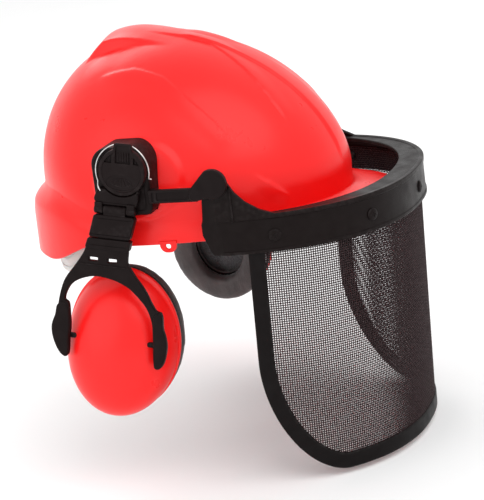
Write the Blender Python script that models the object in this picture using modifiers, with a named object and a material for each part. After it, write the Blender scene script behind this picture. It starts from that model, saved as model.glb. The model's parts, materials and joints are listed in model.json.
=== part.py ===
"""Forestry helmet: hard hat with a raised mesh visor and two swinging ear muffs.

Metres, +Z up, +X to the wearer's left, -Y to the front. The origin is the centre of the
crown pad's flat underside, where the helmet rests on the head. Everything hangs from one
empty whose own origin lies in the plane of the shell's side rims, HEAD_REST below that.
"""

import math

import bmesh
import bpy
import numpy as np
from mathutils import Matrix, Vector

MM = 0.001
GAP = 0.3 * MM
SIDES = {"right": -1, "left": 1}
QUARTER_TURN = (0, 0, math.pi / 2)

# Shell: a dome on a flared rim. Each lower ring is (front, rear, half width, and the
# heights at front, side and rear), in mm above the side rim.
HEAD_REST = 98 * MM
SHELL_WALL = 3 * MM
DOME_CENTRE = -18
DOME_TOP = 135
DOME_RINGS = 8
DOME_FRONT_POWER = 1.77
DOME_REAR_POWER = 2.12
SHELL_SIDES = 48
DOME_FOOT = (120, 114, 104, 24, 24, 36)
RIM_RINGS = (
    (160, 128, 107, 3, 0, -16),
    (145, 127.6, 106.5, 4.5, 6, 0),
    (130, 127, 106, 5.5, 10, 19),
    (124, 123.5, 105.6, 6.5, 12, 25),
    (119.5, 117, 105.2, 9, 14, 30),
    (119.5, 115, 104.6, 14, 18, 33),
)
HUMP_HEIGHT = 7.5
HUMP_REAR = -62
HUMP_HALF_WIDTH = 30
RIDGE_HEIGHT = 1.6
RIDGE_HALF_WIDTH = 13
PAD_HEIGHT = 2.2
PAD_CENTRE = (-8, 46)
PAD_REACH = (36, 30)
SLOT_FORWARD = -7.6 * MM
SLOT_HEIGHT = 27 * MM
SLOT_SIZE = (32 * MM, 6 * MM)
CHIN_TAB_FORWARD = 11 * MM
CHIN_TAB_RADIUS = 6 * MM
CHIN_HOLE_RADIUS = 2.3 * MM

# Side adapter, and the arm that carries a muff.
PIVOT_FORWARD = -8.6 * MM
PIVOT_HEIGHT = 58.4 * MM
ADAPTER_FACE = 121 * MM
ADAPTER_BACK = -33 * MM
ADAPTER_FRONT = 9 * MM
ADAPTER_BASE = 25.5 * MM
ADAPTER_TOP = 75.5 * MM
ADAPTER_CORNER = 18 * MM
ADAPTER_DEPTH = 42 * MM
ADAPTER_WALL = 3 * MM
ADAPTER_SKIN = 3.2 * MM
DISC_RADIUS = 17.3 * MM
WIRE_ARC_RADIUS = 19.9 * MM
WIRE_RADIUS = 0.9 * MM
ARM_OUT = 125.5 * MM
ARM_SET_BACK = -6.1 * MM
ARM_HALF_WIDTH = 15.5 * MM
FLIP_DROP = 28 * MM
HINGE_AHEAD = 1.6 * MM
KNUCKLE_RADIUS = 3.1 * MM
SLEEVE_TOP = 31.6 * MM
SLEEVE_BOTTOM = 48.2 * MM
SLEEVE_SLANT = 1.9 * MM
SLEEVE_THICKNESS = 7.2 * MM
TONGUE_THICKNESS = 3 * MM
TONGUE_HALF_WIDTH = 11 * MM
TONGUE_INSERTION = 15.6 * MM
YOKE_THICKNESS = 5 * MM
# Rest angles of each arm: leaning back about the disc, flared out, and the cup's own tilt.
LEAN = {"right": math.radians(8.6), "left": math.radians(10)}
FLARE = {"right": math.radians(2.5), "left": math.radians(27)}
CUP_TILT = {"right": 0.0, "left": math.radians(8)}

# Ear cup, in the arm's own frame: down from the pivot, out from the middle of the head.
TILT_DROP = 125.7 * MM
TILT_OUT = 121 * MM
CUP_DROP = 131.7
CUP_HALF_WIDTH = 42
CUP_HALF_HEIGHT = 53
CUP_RIM = 96
CUP_DEPTH = 36
CUP_FACE_DROP = 14
CUP_FACE_BACK = 1.5
CUP_DOME_POWER = 2.2
CUP_WALL = 2.5 * MM
CUSHION_INNER = 76
CUSHION_OUTER = 91.4

# Visor: superellipse in plan, centre forward of the dome centre.
VISOR_PIVOT_FORWARD = 57 * MM
VISOR_PIVOT_HEIGHT = 47 * MM
VISOR_CENTRE = 44
VISOR_HALF_WIDTH = 122
VISOR_REACH = 128
VISOR_POWER = 2.27
BAND_WALL = 3
BAND_TOP = 21
BAND_BOTTOM = -6
LIP_DEPTH = 15.2
LIP_START = 66
SHEET_THICKNESS = 1
SHEET_INSET = 3.9
SHEET_HALF_ARC = 168.5
SHEET_BOTTOM = -175.4
SHEET_TOP = 14
SHEET_RAKE = 6 / 175
CORNER_WIDTH = 61
CORNER_HEIGHT = 87
CORNER_POWER = 1.8
TRIM_WIDTH = 10
TRIM_HALF_THICKNESS = 1.8
STUD_ARCS = (-150, -75, 0, 75, 150)
STUD_HEIGHT = 6
LINK_OUT = 125.2 * MM
LINK_THICKNESS = 5 * MM

# Harness.
BAND_HALF_WIDTH = 78
BAND_FRONT = 97
BAND_SIDE_END = -41
HEADBAND_LEVELS = (-4, 26)
CROWN_PAD_THICKNESS = 5.5 * MM
STRAP_WIDTH = 20
STRAP_THICKNESS = 1.2
STRAP_AZIMUTHS = (0, 60, -60)
STRAP_CENTRE_BACK = 4
NAPE_REAR = -107
HOUSING_DEPTH = 5.5 * MM
KNOB_RADIUS = 9.5 * MM
KNOB_HEIGHT = -21 * MM
KNOB_DEPTH = 6 * MM


# --- Scene and materials ----------------------------------------------------------------

for old in list(bpy.data.objects):
    bpy.data.objects.remove(old)

PARTS = bpy.data.collections.new("forestry_helmet")
CUTTERS = bpy.data.collections.new("cutters")
bpy.context.scene.collection.children.link(PARTS)
bpy.context.scene.collection.children.link(CUTTERS)


def material(name, colour, roughness, metallic=0.0):
    made = bpy.data.materials.new(name)
    made.use_nodes = True
    shader = made.node_tree.nodes["Principled BSDF"]
    shader.inputs["Base Color"].default_value = (*colour, 1.0)
    shader.inputs["Roughness"].default_value = roughness
    shader.inputs["Metallic"].default_value = metallic
    return made


RED = material("shell_red", (0.86, 0.045, 0.04), 0.28)
BLACK = material("arm_black", (0.02, 0.017, 0.016), 0.5)
STEEL = material("spring_steel", (0.5, 0.5, 0.5), 0.3, 1.0)
MESH_BLACK = material("mesh_black", (0.02, 0.02, 0.02), 0.45, 0.6)
HARNESS = material("harness_white", (0.8, 0.78, 0.74), 0.5)
WEBBING = material("webbing", (0.05, 0.05, 0.05), 0.85)
FOAM = material("foam", (0.06, 0.05, 0.05), 0.9)
CUSHION = material("cushion_skin", (0.03, 0.02, 0.02), 0.6)


# --- Helpers ----------------------------------------------------------------------------


def empty(name, parent=None, location=(0, 0, 0), turn=(0, 0, 0)):
    made = bpy.data.objects.new(name, None)
    made.empty_display_size = 0.02
    made.location = location
    made.rotation_euler = turn
    made.parent = parent
    PARTS.objects.link(made)
    return made


def add(name, mesh, parent, look=None, location=(0, 0, 0), rotation=(0, 0, 0), cutter=False):
    made = bpy.data.objects.new(name, mesh)
    made.location = location
    made.rotation_euler = rotation
    made.parent = parent
    (CUTTERS if cutter else PARTS).objects.link(made)
    if look:
        mesh.materials.append(look)
    if cutter:
        made.hide_render = True
        made.display_type = "WIRE"
    return made


def smooth(obj, angle=35):
    obj.data.shade_smooth()
    obj.data.set_sharp_from_angle(angle=math.radians(angle))
    return obj


def mesh_of(build):
    """A mesh filled by build(bm), with its faces turned outwards."""
    bm = bmesh.new()
    build(bm)
    bmesh.ops.remove_doubles(bm, verts=bm.verts, dist=1e-6)
    bmesh.ops.recalc_face_normals(bm, faces=bm.faces)
    mesh = bpy.data.meshes.new("mesh")
    bm.to_mesh(mesh)
    bm.free()
    return mesh


def loft_mesh(rings, start="face", end="face"):
    """Skin through rings of equal point count. An end is a face, open, or a pole point.
    With start "join" the last ring joins the first."""

    def build(bm):
        rows = [[bm.verts.new(point) for point in ring] for ring in rings]
        pairs = list(zip(rows, rows[1:]))
        if start == "join":
            pairs.append((rows[-1], rows[0]))
        count = len(rows[0])
        for low, high in pairs:
            for i in range(count):
                j = (i + 1) % count
                bm.faces.new((low[i], low[j], high[j], high[i]))
        ends = () if start == "join" else ((rows[0], start), (rows[-1], end))
        for row, kind in ends:
            if isinstance(kind, Vector):
                pole = bm.verts.new(kind)
                for i in range(count):
                    bm.faces.new((row[i], row[(i + 1) % count], pole))
            elif kind == "face":
                bm.faces.new(row)

    return mesh_of(build)


def box_mesh(size):
    def build(bm):
        bmesh.ops.create_cube(bm, size=1)
        bmesh.ops.scale(bm, vec=size, verts=bm.verts)

    return mesh_of(build)


def rod_mesh(radius, length, sides=20):
    """A cylinder along X, centred."""

    def build(bm):
        turn = Matrix.Rotation(math.pi / 2, 4, "Y")
        bmesh.ops.create_cone(
            bm, cap_ends=True, segments=sides, radius1=radius, radius2=radius,
            depth=length, matrix=turn,
        )

    return mesh_of(build)


def rounded(corners, steps=5):
    """An outline from (x, y, radius) corners, each rounded with an arc."""
    points = []
    for i, (x, y, radius) in enumerate(corners):
        here = Vector((x, y))
        if radius == 0:
            points.append(here)
            continue
        before = (Vector(corners[i - 1][:2]) - here).normalized()
        after = (Vector(corners[(i + 1) % len(corners)][:2]) - here).normalized()
        half = before.angle(after) / 2
        reach = radius / math.tan(half)
        centre = here + (before + after).normalized() * (radius / math.sin(half))
        first = here + before * reach - centre
        last = here + after * reach - centre
        for k in range(steps + 1):
            share = k / steps
            points.append(centre + first.lerp(last, share).normalized() * radius)
    return points


def oval(half_width, half_height, sides=32, power=2.0):
    """Points round a superellipse, anticlockwise from +x."""
    points = []
    for k in range(sides):
        angle = 2 * math.pi * k / sides
        c, s = math.cos(angle), math.sin(angle)
        points.append(Vector((
            half_width * math.copysign(abs(c) ** (2 / power), c),
            half_height * math.copysign(abs(s) ** (2 / power), s),
        )))
    return points


# An upright plate's own x runs forward (-Y), its own y up, and its thickness along X.
UPRIGHT = Matrix(((0, 0, -1, 0), (-1, 0, 0, 0), (0, 1, 0, 0), (0, 0, 0, 1)))
# A cross plate's own x runs along X, its own y up, and its thickness along Y.
CROSSWISE = Matrix(((1, 0, 0, 0), (0, 0, -1, 0), (0, 1, 0, 0), (0, 0, 0, 1)))


def plate_mesh(outline, thickness, facing=UPRIGHT, holes=()):
    """A flat outline with a thickness: a filled 2D curve, made a mesh."""
    curve = bpy.data.curves.new("outline", "CURVE")
    curve.dimensions = "2D"
    curve.fill_mode = "BOTH"
    curve.extrude = thickness / 2
    for loop in (outline, *holes):
        spline = curve.splines.new("POLY")
        spline.points.add(len(loop) - 1)
        spline.use_cyclic_u = True
        for point, (x, y) in zip(spline.points, loop):
            point.co = (x, y, 0, 1)
    made = bpy.data.objects.new("outline", curve)
    bpy.context.scene.collection.objects.link(made)
    graph = bpy.context.evaluated_depsgraph_get()
    mesh = bpy.data.meshes.new_from_object(made.evaluated_get(graph))
    bpy.data.objects.remove(made)
    bpy.data.curves.remove(curve)
    mesh.transform(facing)
    bm = bmesh.new()
    bm.from_mesh(mesh)
    bmesh.ops.remove_doubles(bm, verts=bm.verts, dist=1e-6)
    bmesh.ops.recalc_face_normals(bm, faces=bm.faces)
    bm.to_mesh(mesh)
    bm.free()
    return mesh


def bevel(obj, width, segments=1):
    made = obj.modifiers.new("soft_edges", "BEVEL")
    made.width = width
    made.segments = segments
    made.limit_method = "ANGLE"
    made.angle_limit = math.radians(50)
    return obj


def boolean(obj, cutter, operation="DIFFERENCE"):
    made = obj.modifiers.new(cutter.name, "BOOLEAN")
    made.operation = operation
    made.object = cutter
    made.solver = "EXACT"
    return obj


def cut_box(name, parent, size, location, rotation=(0, 0, 0)):
    return add(name, box_mesh(size), parent, None, location, rotation, cutter=True)


def cut_rod(name, parent, radius, length, location, rotation=(0, 0, 0), sides=20):
    return add(name, rod_mesh(radius, length, sides), parent, None, location, rotation, True)


def turned(name, profile, parent, look, location, rotation, steps=24):
    """A profile of (radius, height) points from the top down, turned about local Z."""
    mesh = bpy.data.meshes.new(name)
    points = [(r, 0, h) for r, h in profile]
    mesh.from_pydata(points, [(i, i + 1) for i in range(len(points) - 1)], [])
    obj = add(name, mesh, parent, look, location, rotation)
    screw = obj.modifiers.new("turn", "SCREW")
    screw.axis = "Z"
    screw.steps = steps
    screw.render_steps = steps
    screw.use_merge_vertices = True
    screw.merge_threshold = 0.00001
    return obj


def fall(rise, power):
    """The other coordinate of a superellipse, at a height of rise from 0 to 1."""
    return (1 - rise ** power) ** (1 / power)


def smoothstep(low, high, value):
    share = min(max((value - low) / (high - low), 0.0), 1.0)
    return share * share * (3 - 2 * share)


# --- Shell ------------------------------------------------------------------------------


def shell_rings():
    """Rings from the rim to just under the crown, in mm."""
    rings = list(RIM_RINGS)
    front, rear, half, *levels = DOME_FOOT
    for k in range(DOME_RINGS):
        rise = math.radians(90) * k / DOME_RINGS
        flat, up = math.cos(rise), math.sin(rise)
        rings.append((
            DOME_CENTRE + (front - DOME_CENTRE) * fall(up, DOME_FRONT_POWER),
            -DOME_CENTRE + (rear + DOME_CENTRE) * fall(up, DOME_REAR_POWER),
            half * flat,
            *(level + (DOME_TOP - level) * up for level in levels),
        ))
    return rings


def crown_rise(forward, side):
    """Height of the central hump and ridge above the plain dome, in mm."""
    along = smoothstep(HUMP_REAR, HUMP_REAR + 7, forward)
    fade = 1 - smoothstep(HUMP_REAR + 8, 5, forward)
    hump = HUMP_HEIGHT * along * fade
    hump *= 1 - smoothstep(HUMP_HALF_WIDTH - 5, HUMP_HALF_WIDTH, abs(side))
    ridge = RIDGE_HEIGHT * smoothstep(-30, 0, forward)
    ridge *= 1 - smoothstep(RIDGE_HALF_WIDTH - 4, RIDGE_HALF_WIDTH, abs(side))
    return hump + ridge


def slot_pad(forward, level):
    """Thickness of the raised pad round the accessory slot, in mm."""
    far = math.hypot((forward - PAD_CENTRE[0]) / PAD_REACH[0],
                     (level - PAD_CENTRE[1]) / PAD_REACH[1])
    return PAD_HEIGHT * (1 - smoothstep(0.8, 1.0, far))


def shell_point(ring, angle, grow=0.0):
    """A point of the shell's outer surface, grown outwards by some mm."""
    front, rear, half, at_front, at_side, at_rear = ring
    side, ahead = math.cos(angle), math.sin(angle)
    if ahead > 0:
        reach = front - DOME_CENTRE
        level = at_side + (at_front - at_side) * smoothstep(0.3, 0.8, ahead)
    else:
        reach = rear + DOME_CENTRE
        level = at_side + (at_rear - at_side) * smoothstep(0.25, 0.72, -ahead)
    across = half * side
    forward = DOME_CENTRE + reach * ahead
    across += math.copysign(slot_pad(forward, level), across) * abs(side)
    across += grow * side
    forward += grow * ahead
    if level > 40:
        level += crown_rise(forward, across) + grow * level / DOME_TOP
    return Vector((across, -forward, level)) * MM


def shell_surface(grow=0.0, first=0, closed=False):
    rings = shell_rings()[first:]
    turns = [2 * math.pi * (k + 0.5) / SHELL_SIDES for k in range(SHELL_SIDES)]
    rows = [[shell_point(ring, turn, grow) for turn in turns] for ring in rings]
    top = DOME_TOP + crown_rise(DOME_CENTRE, 0) + grow
    pole = Vector((0, -DOME_CENTRE, top)) * MM
    return loft_mesh(rows, start="face" if closed else "open", end=pole)


def chin_tabs(parent):
    """A slotted tab on each side rim, for a chin strap."""
    tabs = []
    for name, side in SIDES.items():
        outline = rounded((
            (-CHIN_TAB_RADIUS, -6 * MM, 5 * MM),
            (CHIN_TAB_RADIUS, -6 * MM, 5 * MM),
            (CHIN_TAB_RADIUS + 3 * MM, 5 * MM, 0),
            (-CHIN_TAB_RADIUS - 3 * MM, 5 * MM, 0),
        ))
        tab = add(f"chin_tab_{name}", plate_mesh(outline, 3 * MM), parent, None,
                  (side * 105 * MM, -CHIN_TAB_FORWARD, 0), cutter=True)
        tabs.append(tab)
    return tabs


def build_shell(parent):
    shell = add("shell", shell_surface(), parent, RED)
    wall = shell.modifiers.new("wall", "SOLIDIFY")
    wall.thickness = SHELL_WALL
    wall.offset = -1
    wall.use_even_offset = True
    for tab in chin_tabs(parent):
        boolean(shell, tab, "UNION")
    boolean(shell, cut_rod("chin_holes", parent, CHIN_HOLE_RADIUS, 300 * MM,
                           (0, -CHIN_TAB_FORWARD, -1.2 * MM)))
    boolean(shell, cut_box("slots", parent, (300 * MM, *SLOT_SIZE),
                           (0, -SLOT_FORWARD, SLOT_HEIGHT)))
    return smooth(shell)


# --- Adapter, arm and cup on one side ---------------------------------------------------


def build_adapter(name, side, parent, clearance):
    """Casing over the slot: a face plate with a skirt cut to the dome, and a slot tongue."""
    base, top, back, front = ADAPTER_BASE, ADAPTER_TOP, ADAPTER_BACK, ADAPTER_FRONT
    corners = ((back, base, 3 * MM), (front, base, 5 * MM),
               (front, top, ADAPTER_CORNER), (back, top, ADAPTER_CORNER))
    inset, corner, depth = ADAPTER_SKIN, ADAPTER_CORNER - ADAPTER_SKIN, ADAPTER_DEPTH
    inner = ((back + inset, base + inset, 1 * MM), (front - inset, base + inset, 2 * MM),
             (front - inset, top - inset, corner), (back + inset, top - inset, corner))
    adapter = add(f"adapter_{name}", plate_mesh(rounded(corners), depth), parent, BLACK,
                  (side * (ADAPTER_FACE - depth / 2), 0, 0))
    bevel(adapter, 1 * MM)
    pocket = add(f"adapter_pocket_{name}", plate_mesh(rounded(inner, 3), depth), parent, None,
                 (side * (ADAPTER_FACE - ADAPTER_WALL - depth / 2), 0, 0), cutter=True)
    boolean(adapter, pocket)
    boolean(adapter, clearance)
    tongue = cut_box(f"adapter_tongue_{name}", parent, (21.5 * MM, 28 * MM, 3.4 * MM),
                     (side * 108.2 * MM, -SLOT_FORWARD, SLOT_HEIGHT + 0.3 * MM))
    barb = cut_box(f"adapter_barb_{name}", parent, (3 * MM, 28 * MM, 5.2 * MM),
                   (side * 98.5 * MM, -SLOT_FORWARD, SLOT_HEIGHT + 0.2 * MM))
    boolean(adapter, tongue, "UNION")
    boolean(adapter, barb, "UNION")
    boolean(adapter, cut_rod(f"adapter_bore_{name}", parent, 5.4 * MM, 20 * MM,
                             (side * ADAPTER_FACE, -PIVOT_FORWARD, PIVOT_HEIGHT), sides=24))
    return smooth(adapter)


def build_disc(name, side, pivot):
    """Turned cap with a stem and a snap head behind the adapter's face plate."""
    face = ARM_OUT + 0.5 * MM
    under = ADAPTER_FACE + GAP
    back = ADAPTER_FACE - ADAPTER_WALL - GAP
    profile = ((0, face), (DISC_RADIUS - 1 * MM, face), (DISC_RADIUS, face - 1 * MM),
               (DISC_RADIUS, under), (5 * MM, under), (5 * MM, back),
               (7.2 * MM, back), (6 * MM, back - 2 * MM), (0, back - 2 * MM))
    disc = turned(f"pivot_disc_{name}", profile, pivot, BLACK, (0, 0, 0),
                  (0, side * math.pi / 2, 0), 28)
    hook = add(f"wire_hook_{name}", box_mesh((2.2 * MM, 12.4 * MM, 8 * MM)), pivot, None,
               (side * (face - 1.1 * MM), -0.9 * MM, 16.8 * MM), cutter=True)
    boolean(disc, hook, "UNION")
    for k, (across, width) in enumerate(((-9.4, 4.2), (0.9, 11.6), (10.8, 4.2))):
        window = cut_box(f"disc_window_{name}_{k}", pivot,
                         (4.4 * MM, width * MM, 5 * MM),
                         (side * face, -across * MM, 8.8 * MM))
        boolean(disc, window)
    recess = add(f"disc_recess_{name}", plate_mesh(oval(11 * MM, 5 * MM, 20), 2 * MM),
                 pivot, None, (side * face, 0, -7.6 * MM), cutter=True)
    boolean(disc, recess)
    return smooth(disc)


def build_wire(name, side, pivot):
    """Spring wire bent in an arc round the disc, open at the bottom."""
    curve = bpy.data.curves.new(f"spring_wire_{name}", "CURVE")
    curve.dimensions = "3D"
    curve.bevel_depth = WIRE_RADIUS
    curve.bevel_resolution = 2
    curve.use_fill_caps = True
    spline = curve.splines.new("POLY")
    turns = [math.radians(-9 + 221 * k / 18) for k in range(19)]
    spline.points.add(len(turns) - 1)
    out = side * (ADAPTER_FACE + WIRE_RADIUS + GAP)
    for point, turn in zip(spline.points, turns):
        point.co = (out, -WIRE_ARC_RADIUS * math.cos(turn), WIRE_ARC_RADIUS * math.sin(turn), 1)
    wire = bpy.data.objects.new(f"spring_wire_{name}", curve)
    wire.parent = pivot
    curve.materials.append(STEEL)
    PARTS.objects.link(wire)
    return wire


def knuckle_mesh(length, top):
    """A hinge knuckle along Y: a round foot under a straight neck that rises to top."""
    foot = [Vector((KNUCKLE_RADIUS * math.cos(a), KNUCKLE_RADIUS * math.sin(a)))
            for a in np.linspace(math.pi, 2 * math.pi, 9)]
    neck = [Vector((KNUCKLE_RADIUS, top)), Vector((-KNUCKLE_RADIUS, top))]
    return plate_mesh(foot + neck, length, CROSSWISE)


def build_hub(name, side, pivot):
    """Block under the disc with two hinge knuckles."""
    sweep = np.radians(np.linspace(228, 312, 9))
    arc = [Vector((math.cos(a), math.sin(a))) * (DISC_RADIUS + 0.4 * MM) for a in sweep]
    middle = ARM_SET_BACK + HINGE_AHEAD
    back, front = middle - ARM_HALF_WIDTH, middle + ARM_HALF_WIDTH
    foot = 3.6 * MM - FLIP_DROP
    outline = [Vector((back + 2.4 * MM, -12.5 * MM)), Vector((back - 0.6 * MM, -20.5 * MM)),
               Vector((back + 1.4 * MM, foot)), Vector((front, foot)),
               Vector((front + 1.6 * MM, -20 * MM)), Vector((front + 2 * MM, -12.5 * MM))]
    outline += list(reversed(arc))
    thickness = 5.6 * MM
    out = ADAPTER_FACE + GAP + thickness / 2
    hub = add(f"arm_hub_{name}", plate_mesh(outline, thickness), pivot, BLACK,
              (side * out, 0, 0))
    for k, along in enumerate((-12, 12)):
        knuckle = add(f"hub_knuckle_{name}_{k}", knuckle_mesh(6.4 * MM, 5.4 * MM), pivot, None,
                      (side * ARM_OUT, -(middle + along * MM), -FLIP_DROP), cutter=True)
        boolean(hub, knuckle, "UNION")
    boolean(hub, cut_rod(f"hub_bore_{name}", pivot, 1.4 * MM, 60 * MM,
                         (side * ARM_OUT, -middle, -FLIP_DROP), QUARTER_TURN, 12))
    return smooth(hub)


def build_flip_pin(name, side, pivot):
    return smooth(add(f"flip_pin_{name}", rod_mesh(1.1 * MM, 30 * MM, 12), pivot, STEEL,
                      (side * ARM_OUT, -ARM_SET_BACK - HINGE_AHEAD, -FLIP_DROP),
                      QUARTER_TURN))


def build_sleeve(name, side, flip):
    """Sleeve below the flip hinge, open at the bottom for the yoke's tongue."""
    back, front = -ARM_HALF_WIDTH, ARM_HALF_WIDTH
    top, foot = FLIP_DROP - SLEEVE_TOP, FLIP_DROP - SLEEVE_BOTTOM
    slant = SLEEVE_SLANT
    corners = ((back - slant, foot, 1 * MM), (front - slant, foot, 1 * MM),
               (front + slant, top, 1.5 * MM), (back + slant, top, 1.5 * MM))
    sleeve = add(f"arm_sleeve_{name}", plate_mesh(rounded(corners, 3), SLEEVE_THICKNESS),
                 flip, BLACK)
    bevel(sleeve, 0.8 * MM)
    knuckle = add(f"sleeve_knuckle_{name}", knuckle_mesh(17 * MM, 5 * MM), flip, None,
                  (0, -HINGE_AHEAD, 0), (math.pi, 0, 0), cutter=True)
    boolean(sleeve, knuckle, "UNION")
    boolean(sleeve, cut_rod(f"sleeve_bore_{name}", flip, 1.4 * MM, 60 * MM, (0, 0, 0),
                            QUARTER_TURN, 12))
    slot_top = top - 0.8 * MM
    slot = cut_box(f"sleeve_slot_{name}", flip,
                   (TONGUE_THICKNESS + 0.8 * MM, 2 * TONGUE_HALF_WIDTH + 0.8 * MM, 40 * MM),
                   (0, 0, slot_top - 20 * MM))
    boolean(sleeve, slot)
    return smooth(sleeve)


def yoke_outline():
    """Fork over the cup, mm: down its rear arm, up inside the arch, round the front arm."""
    points = ((-17.3, -48.8), (-20, -53), (-20.1, -57), (-21.8, -61.3), (-27.2, -69.7),
              (-35.2, -81.3), (-38.8, -91.8), (-40.9, -103.4), (-42, -108.6), (-44.8, -117),
              (-44.3, -124.5), (-41.4, -132.4), (-37.3, -138.4), (-32.6, -138.9),
              (-31.8, -127), (-31, -116.4), (-31.6, -107), (-32.6, -99.7), (-35.4, -97),
              (-33.4, -90.2), (-29.4, -84.6), (-22.1, -80.1), (-11.5, -77.4), (1.3, -78.9),
              (10.1, -82.1), (16, -85.8), (25.5, -95.2), (30, -103.9), (31.6, -112.2),
              (32.2, -126.4), (32.6, -135.6), (33.8, -140.4), (37.9, -140.1), (40.6, -135),
              (42.2, -124.9), (41, -116.5), (39, -111), (38, -100), (34.1, -98.4),
              (30.3, -93), (25.1, -83.8), (17.8, -74.8), (12.5, -67), (11.8, -63.5),
              (12.4, -56.5), (14.2, -51.5), (13, -48.8))
    return [Vector(point) * MM for point in points]


def build_yoke(name, side, slide):
    yoke = add(f"yoke_{name}", plate_mesh(yoke_outline(), YOKE_THICKNESS), slide, BLACK)
    bevel(yoke, 1 * MM)
    length = TONGUE_INSERTION + 8 * MM
    tongue = cut_box(f"tongue_{name}", slide,
                     (TONGUE_THICKNESS, 2 * TONGUE_HALF_WIDTH, length),
                     (0, 0, TONGUE_INSERTION - SLEEVE_BOTTOM - length / 2))
    boolean(yoke, tongue, "UNION")
    for k, along in enumerate((-13.9, 0.4)):
        boolean(yoke, cut_box(f"yoke_window_{name}_{k}", slide, (20 * MM, 6.8 * MM, 2.6 * MM),
                              (0, -along * MM, -64.7 * MM)))
    for end, way in (("front", 1), ("rear", -1)):
        boolean(yoke, cut_rod(f"yoke_bore_{end}_{name}", slide, 2.4 * MM, 14 * MM,
                              (side * (TILT_OUT - ARM_OUT), -way * 33.5 * MM, -TILT_DROP),
                              QUARTER_TURN, 16))
    return smooth(yoke)


def cup_ring(share, shrink=0.0, sides=28):
    """Ring of the cup's dome at a share of its full oval, in the tilt empty's frame."""
    rise = (1 - share ** CUP_DOME_POWER) ** (1 / CUP_DOME_POWER)
    out = CUP_RIM + (CUP_DEPTH - shrink) * rise
    drop = TILT_DROP / MM - CUP_DROP - CUP_FACE_DROP * rise
    ring = oval((CUP_HALF_WIDTH - shrink) * share, (CUP_HALF_HEIGHT - shrink) * share, sides)
    back = CUP_FACE_BACK * rise
    return [(out - TILT_OUT / MM, back - x, y + drop) for x, y in ring]


def scaled(points, side):
    return [Vector((side * x, y, z)) * MM for x, y, z in points]


def build_cup(name, side, tilt):
    """Domed hard cup, open towards the head, with a bore for each pin."""
    shares = [math.cos(math.radians(90) * k / 8) for k in range(8)]
    rings = [scaled(cup_ring(share), side) for share in shares]
    top = cup_ring(0.0, sides=4)[0]
    cup = add(f"cup_shell_{name}", loft_mesh(rings, "open", scaled([top], side)[0]), tilt, RED)
    wall = cup.modifiers.new("wall", "SOLIDIFY")
    wall.thickness = CUP_WALL
    wall.offset = -1
    wall.use_even_offset = True
    boolean(cup, cut_rod(f"cup_bores_{name}", tilt, 2.4 * MM, 90 * MM, (0, 0, 0),
                         QUARTER_TURN, 16))
    return smooth(cup)


def build_cup_pin(name, side, slide, end, way):
    """Pin from a prong of the yoke into the flank of the cup, along the tilt axis."""
    inner, outer = 26 * MM, 39.8 * MM
    return smooth(add(f"cup_pin_{end}_{name}", rod_mesh(2 * MM, outer - inner, 16), slide,
                      BLACK,
                      (side * (TILT_OUT - ARM_OUT), -way * (inner + outer) / 2, -TILT_DROP),
                      QUARTER_TURN))


def oval_band(outer, inner, low, high, side, sides=28, soft=0.0):
    """A closed oval ring of material between two ovals, mm, with its outer edges cut back."""
    drop = TILT_DROP / MM - CUP_DROP
    section = ((0, low), (1, low), (1, high), (0, high))
    if soft:
        section = ((0, low + soft), (0.2, low), (1, low), (1, high), (0.2, high),
                   (0, high - soft))
    rings = []
    for k in range(sides):
        angle = 2 * math.pi * k / sides
        ring = []
        for share, out in section:
            y = (outer[0] + (inner[0] - outer[0]) * share) * math.cos(angle)
            z = (outer[1] + (inner[1] - outer[1]) * share) * math.sin(angle)
            ring.append((out - TILT_OUT / MM, -y, z + drop))
        rings.append(scaled(ring, side))
    return loft_mesh(rings, start="join")


def build_cup_inside(name, side, tilt):
    """Back plate, foam and ear cushion of one cup."""
    plate = add(f"cup_plate_{name}",
                oval_band((41, 51.5), (24, 34), 91.8, 94.6, side), tilt, BLACK)
    cushion = add(f"cushion_{name}",
                  oval_band((40, 52.5), (21, 31), CUSHION_INNER, CUSHION_OUTER, side,
                            24, 4.0), tilt, CUSHION)
    drop = (TILT_DROP / MM - CUP_DROP - 2) * MM
    foam = add(f"cup_foam_{name}", plate_mesh(oval(29 * MM, 40 * MM, 24), 12 * MM), tilt,
               FOAM, (side * (103 * MM - TILT_OUT), 0, drop))
    return [smooth(piece) for piece in (plate, cushion, foam)]


def build_side(name, side, root, clearance):
    pivot = empty(f"swing_{name}", root, (0, -PIVOT_FORWARD, PIVOT_HEIGHT), (LEAN[name], 0, 0))
    flip = empty(f"flip_{name}", pivot, (side * ARM_OUT, -ARM_SET_BACK, -FLIP_DROP),
                 (0, -side * FLARE[name], 0))
    slide = empty(f"slide_{name}", flip, (0, 0, FLIP_DROP))
    tilt = empty(f"tilt_{name}", slide, (side * (TILT_OUT - ARM_OUT), 0, -TILT_DROP),
                 (0, side * CUP_TILT[name], 0))
    build_adapter(name, side, root, clearance)
    build_disc(name, side, pivot)
    build_wire(name, side, pivot)
    build_hub(name, side, pivot)
    build_flip_pin(name, side, pivot)
    build_sleeve(name, side, flip)
    build_yoke(name, side, slide)
    for end, way in (("front", 1), ("rear", -1)):
        build_cup_pin(name, side, slide, end, way)
    build_cup(name, side, tilt)
    build_cup_inside(name, side, tilt)


# --- Visor ------------------------------------------------------------------------------


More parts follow.
